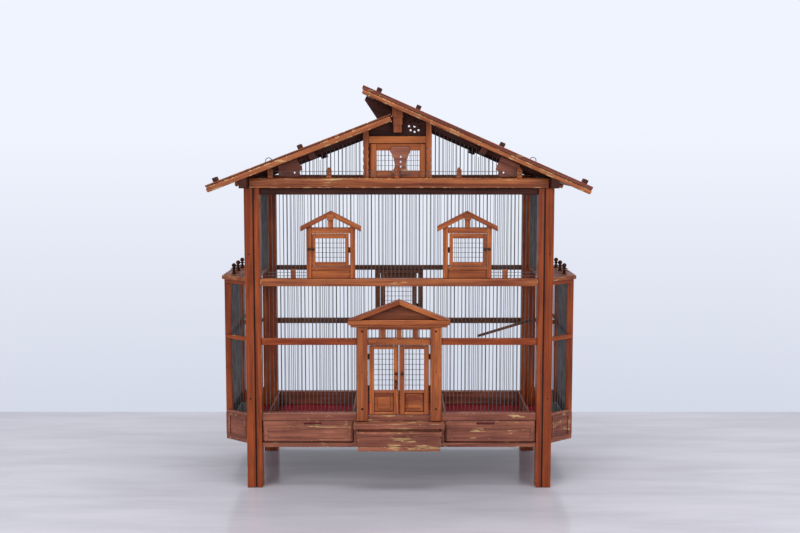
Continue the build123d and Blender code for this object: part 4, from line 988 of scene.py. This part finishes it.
class AviaryRoof(bpy.types.Operator):
    """Plank the roof and finish its timbers, battens and edges."""

    bl_idname = "aviary.roof"
    bl_label = "Roof"

    def execute(self, context):
        _, sizes = settings()
        dress("cornices", "trim", 2.5)
        dress("barge_boards", "trim", 4.0)
        ends = stub_ends(
            "roof_timbers", sizes.purlin_end,
            lambda centre: PURLIN_FROM < abs(centre.x) < PURLIN_TO,
        )
        dress("roof_timbers", "dark", source=ends)
        dress("roof_rafters", "dark")
        cleats = stub_ends("roof_battens", sizes.cleat, lambda centre: True)
        dress("roof_battens", "dark", source=cleats)
        self.planks("left", 0.0)
        self.planks("right", ROOM_FOR_REEDS)
        self.reeds()
        self.nails()
        return {"FINISHED"}

    def planks(self, side, inset):
        """Boards from front to back in place of one roof plane, with open joints."""
        _, sizes = settings()
        node = "roof_boards_" + side
        tip, ridge = slope_of(node)
        along, out = slope_directions(node)
        low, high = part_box(node)
        run = (ridge - tip).length
        count = round(run / sizes.plank_width)
        step = run / count
        depth = self.board_thickness(node, out)
        turn = math.atan2(-along.z, along.x)
        mesh = grown(
            "roof_planks_" + side, plank_tree(),
            {
                "Count": count,
                "Start": tip + along * step / 2 - out * depth / 2,
                "Step": along * step,
                "Turn": Vector((0, turn, 0)),
                "Size": Vector((step - sizes.plank_joint, high.y - low.y - 2 * inset, depth)),
                "Material": finish("roof"),
            },
            [(0, 0, 0)],
        )
        eased = eased_mesh(mesh.name + "_finished", mesh, 2 * sizes.arris)
        eased.materials.append(finish("roof"))
        piece = add_piece(eased, "root")
        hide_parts(node)

    def board_thickness(self, node, out):
        """How deep a roof plane's boards are."""
        heights = [vertex.co.dot(out) for vertex in frame["nodes"][node].data.vertices]
        return max(heights) - min(heights)

    def reeds(self):
        """Fine reeds along the front and back edges of the right roof plane."""
        _, sizes = settings()
        node = "roof_boards_right"
        tip, ridge = slope_of(node)
        along, out = slope_directions(node)
        low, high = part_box(node)
        radius = sizes.reed_width / 2
        count = int(self.board_thickness(node, out) / sizes.reed_width)
        for name, y in (("front", low.y + radius), ("rear", high.y - radius)):
            first = -out * radius + Vector((0, y, 0))
            mesh = grown(
                "roof_edge_reeds_" + name, reed_tree(),
                {
                    "Count": count, "Start": tip + first + along * radius,
                    "End": ridge + first - along * radius,
                    "Step": -out * sizes.reed_width, "Radius": radius,
                    "Material": finish("reed"),
                },
                [(0, 0, 0)],
            )
            eased = eased_mesh(mesh.name + "_finished", mesh, 0)
            eased.materials.append(finish("reed"))
            add_piece(eased, "root")

    def nails(self):
        """A nail head in each cleat."""
        _, sizes = settings()
        on_boards, batten_depth, level = 0.002, 0.03, 0.0005
        battens = bmesh.new()
        battens.from_mesh(frame["nodes"]["roof_battens"].data)
        bmesh.ops.remove_doubles(battens, verts=battens.verts, dist=MERGE_REACH)
        members = [[vertex.co.copy() for vertex in member] for member in islands(battens)]
        battens.free()
        for side in ("left", "right"):
            tip, _ = slope_of("roof_boards_" + side)
            _, out = slope_directions("roof_boards_" + side)
            places = []
            for member in members:
                heights = [(point - tip).dot(out) for point in member]
                top = max(heights)
                if abs(min(heights)) > on_boards or top > batten_depth:
                    continue
                face = [point for point in member if (point - tip).dot(out) > top - level]
                centre = sum(face, Vector()) / len(face)
                reach = max(point.y for point in face) - centre.y
                for end in (-1, 1):
                    places.append(centre + Vector((0, end * (reach - sizes.cleat / 2), 0)))
            studs(
                "cleat_nails_" + side, places, out, sizes.nail_radius * 1.4,
                sizes.nail_radius * 0.4, "iron", "root",
            )


class AviaryGable(bpy.types.Operator):
    """Finish the gable: its frame, window, cut work, pendant and ridge panels."""

    bl_idname = "aviary.gable"
    bl_label = "Gable"

    def execute(self, context):
        for node in ("gable_frame", "gable_window_frame", "king_pendant"):
            dress(node, "fair")
        dress("gable_fretwork", "worn")
        # Painted shade: the front gable panel takes the dark stain finish for the shadow it stands in
        # under the roof.
        dress("ridge_panels", "dark", 0.0, self.front_panel())
        return {"FINISHED"}

    def front_panel(self):
        """The pierced panel of the front gable, whose holes let the light through."""
        mesh = bmesh.new()
        mesh.from_mesh(frame["nodes"]["ridge_panels"].data)
        rear = [vertex for vertex in mesh.verts if vertex.co.y > 0]
        bmesh.ops.delete(mesh, geom=rear, context="VERTS")
        made = bpy.data.meshes.new("ridge_panels_front")
        mesh.to_mesh(made)
        mesh.free()
        return made


class AviaryEntrance(bpy.types.Operator):
    """Finish the entrance: its pilasters, pediment and two door leaves."""

    bl_idname = "aviary.entrance"
    bl_label = "Entrance"

    def execute(self, context):
        dress("portico", "fair")
        pediment = dress("portico_pediment", "fair")
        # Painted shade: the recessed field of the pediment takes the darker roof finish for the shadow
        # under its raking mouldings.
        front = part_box("portico_pediment")[0].y
        field_setback, field_bottom = 0.012, 0.562
        paint(pediment, "roof", lambda face: (
            face.normal.y < -0.9 and face.center.y > front + field_setback
            and face.center.z > field_bottom
        ))
        for side in ("left", "right"):
            dress("door_leaf_" + side, "fair")
        return {"FINISHED"}


class AviaryDormers(bpy.types.Operator):
    """Finish the two dormers with their small doors."""

    bl_idname = "aviary.dormers"
    bl_label = "Dormers"

    def execute(self, context):
        dress("dormers", "fair")
        for side in ("left", "right"):
            dress("dormer_door_" + side, "fair")
        return {"FINISHED"}


class AviaryInside(bpy.types.Operator):
    """Finish the rear door, the perches and the feeders."""

    bl_idname = "aviary.inside"
    bl_label = "Rear door, perches and feeders"

    def execute(self, context):
        for node in ("rear_door_frame", "rear_door", "perches"):
            dress(node, "bare")
        coat_node("feeders", "zinc")
        return {"FINISHED"}


class AviaryWire(bpy.types.Operator):
    """Finish the wire walls, the railing wires and the ironwork."""

    bl_idname = "aviary.wire"
    bl_label = "Wire and ironwork"

    def execute(self, context):
        for nodes, key in ((WIRED, "wire"), (IRONED, "iron")):
            for node in nodes:
                coat_node(node, key)
        return {"FINISHED"}


class AviaryPegs(bpy.types.Operator):
    """Set the pegs and nails that show on the posts, the pilasters and the rails."""

    bl_idname = "aviary.pegs"
    bl_label = "Pegs and nails"

    def execute(self, context):
        _, sizes = settings()
        post_low, post_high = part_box("corner_posts")
        _, porch_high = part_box("portico")
        rail_low, rail_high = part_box("front_mid_rails")
        outward, both = Vector((0, -1, 0)), (-1, 1)
        peg_proud, nail_proud = 0.0005, 0.0004

        post_x, post_heights = post_high.x - 0.013, (0.300, 0.777)
        for name, y, facing in (("front", post_low.y, outward), ("rear", post_high.y, -outward)):
            places = [(end * post_x, y, z) for end in both for z in post_heights]
            studs(
                "post_pegs_" + name, places, facing, 0.7 * sizes.peg_radius, peg_proud,
                "plug", "root",
            )

        pilaster_x, pilaster_y = porch_high.x - 0.018, -0.258
        pilaster_heights, pilaster_nail = (0.266, 0.524), 0.390
        places = [(end * pilaster_x, pilaster_y, z) for end in both for z in pilaster_heights]
        studs(
            "pilaster_pegs", places, outward, sizes.peg_radius, peg_proud,
            "plug", "root",
        )

        lintel_x, lintel_y, lintel_z = 0.073, pilaster_y + 0.004, 0.489
        rail_x, rail_z = (0.198, 0.33), (rail_low.z + rail_high.z) / 2
        places = [(end * pilaster_x, pilaster_y, pilaster_nail) for end in both]
        places += [(end * lintel_x, lintel_y, lintel_z) for end in both]
        places += [(end * x, rail_low.y, rail_z) for end in both for x in rail_x]
        studs(
            "entrance_nails", places, outward, 1.3 * sizes.nail_radius, nail_proud,
            "iron", "root",
        )
        return {"FINISHED"}


OPERATORS = (
    AviaryStage, AviaryPosts, AviaryBase, AviaryBays, AviaryRoof, AviaryGable, AviaryEntrance,
    AviaryDormers, AviaryInside, AviaryWire, AviaryPegs,
)


class AviaryPanel(bpy.types.Panel):
    """Lists the aviary's settings and the operators that make its pieces."""

    bl_idname = "VIEW3D_PT_aviary"
    bl_label = "Aviary"
    bl_space_type = "VIEW_3D"
    bl_region_type = "UI"
    bl_category = "Aviary"

    def draw(self, context):
        layout = self.layout
        for operator in OPERATORS:
            layout.operator(operator.bl_idname)
        for group in (context.scene.aviary_finish, context.scene.aviary_sizes):
            column = layout.column()
            for name in group.bl_rna.properties.keys():
                if name not in ("rna_type", "name"):
                    column.prop(group, name)


CLASSES = (AviaryFinish, AviarySizes, *OPERATORS, AviaryPanel)


def register():
    """Makes the settings, the operators and the panel known."""
    for made in CLASSES:
        bpy.utils.register_class(made)
    bpy.types.Scene.aviary_finish = bpy.props.PointerProperty(type=AviaryFinish)
    bpy.types.Scene.aviary_sizes = bpy.props.PointerProperty(type=AviarySizes)


def unregister():
    """Takes them away again."""
    del bpy.types.Scene.aviary_sizes
    del bpy.types.Scene.aviary_finish
    for made in reversed(CLASSES):
        bpy.utils.unregister_class(made)


def main():
    """Makes every piece in order."""
    register()
    for operator in OPERATORS:
        family, name = operator.bl_idname.split(".")
        getattr(getattr(bpy.ops, family), name)()


if __name__ == "__main__":
    main()
